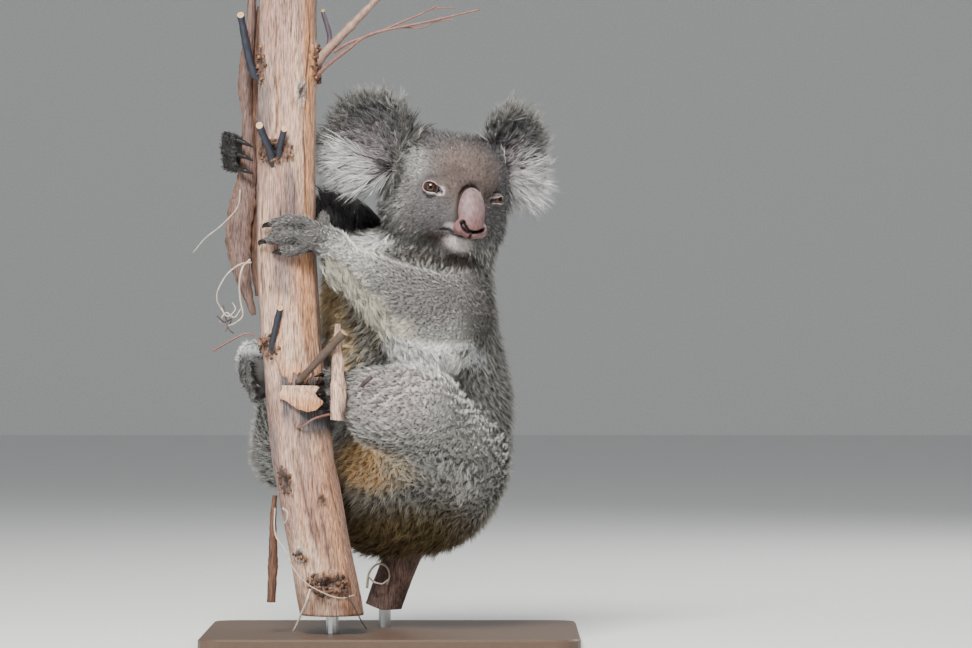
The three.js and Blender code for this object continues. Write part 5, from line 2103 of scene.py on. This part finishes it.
unwrapSkin(skin)
known = coatAt(placesOf(skin), normalsOf(skin))
under = np.clip(known["roots"] * 1.35 + 0.12 * known["tips"], 0, 0.9)
colourAttribute(skin, "coatTip", under)
colourAttribute(skin, "coatRoot", under)
valueAttribute(skin, "along", np.ones(len(under)))
valueAttribute(skin, "tuft", np.full(len(under), 0.5))
valueAttribute(skin, "strand", np.full(len(under), 0.2))
ground = Ground(skin)
for plant in (plantCoat, plantLocks, plantFluff):
    plant(ground, coat)
smoothed(skin)
keep(skin, "coat", coat, *fleshNodes, "ear_left", "ear_right")
stage("coat planted")
for side in ("right", "left"):
    makeEye(side, glassy)
makeNose(noseSkin)
makeClaws(horn)
stage("face and claws made")
makeStem(bark)
makeSeat(bark)
for name in peelPlan:
    hangingStrip(name, bark)
makeFlap(bark)
makeCrumbs(bark)
for name, (places, radii, colour) in shootPlan.items():
    makeShoot(name, places, radii, colour, shoot, name)
for name, (colour, places, radii) in looseStalks.items():
    makeShoot(name, places, radii, colour, shoot)
stage("perch made")

# ---- the stand, studio, camera and light

wood = plainMaterial("standWood", (0.10, 0.062, 0.042), Roughness=0.42)
steel = plainMaterial("standSteel", (0.55, 0.56, 0.57), Roughness=0.28, Metallic=1.0)
for name, material in {"stand_base": wood, "stand_rod_stem": steel, "stand_rod_seat": steel}.items():
    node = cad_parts[name]
    node.data.materials.clear()
    node.data.materials.append(material)


def stagedPlane(name, place, turn, material):
    deselectAll()
    bpy.ops.mesh.primitive_plane_add(size=studio["floorSize"], location=place, rotation=turn)
    plane = bpy.context.object
    plane.name = name
    bpy.ops.object.transform_apply(location=True, rotation=True, scale=True)
    plane.data.materials.append(material)


studioGrey = plainMaterial("studioGrey", studio["floorColour"], Roughness=0.9)
stagedPlane("studioFloor", (0, 0, 0), (0, 0, 0), studioGrey)
stagedPlane("studioWall", (0, studio["wallDistance"], 6), (math.pi / 2, 0, 0), studioGrey)
for name, (place, size, power, colour) in studio["lamps"].items():
    lamp = bpy.data.objects.new(name, bpy.data.lights.new(name, "AREA"))
    bpy.context.scene.collection.objects.link(lamp)
    lamp.location = place
    lamp.data.size = size
    lamp.data.energy = power
    lamp.data.color = colour
    aim = Vector(studio["lampsAim"]) - Vector(place)
    lamp.rotation_euler = aim.to_track_quat("-Z", "Y").to_euler()

camera = bpy.data.objects.new("camera", bpy.data.cameras.new("camera"))
bpy.context.scene.collection.objects.link(camera)
camera.location = studio["cameraPlace"]
camera.rotation_euler = (math.pi / 2, 0, 0)
camera.data.lens = studio["lens"]
camera.data.sensor_width = studio["sensor"]
bpy.context.scene.camera = camera

world = bpy.data.worlds.new("world")
world.use_nodes = True
sky = world.node_tree.nodes["Background"].inputs
sky["Color"].default_value = (*studio["worldColour"], 1)
sky["Strength"].default_value = studio["worldStrength"]
bpy.context.scene.world = world

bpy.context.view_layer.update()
stage("done")
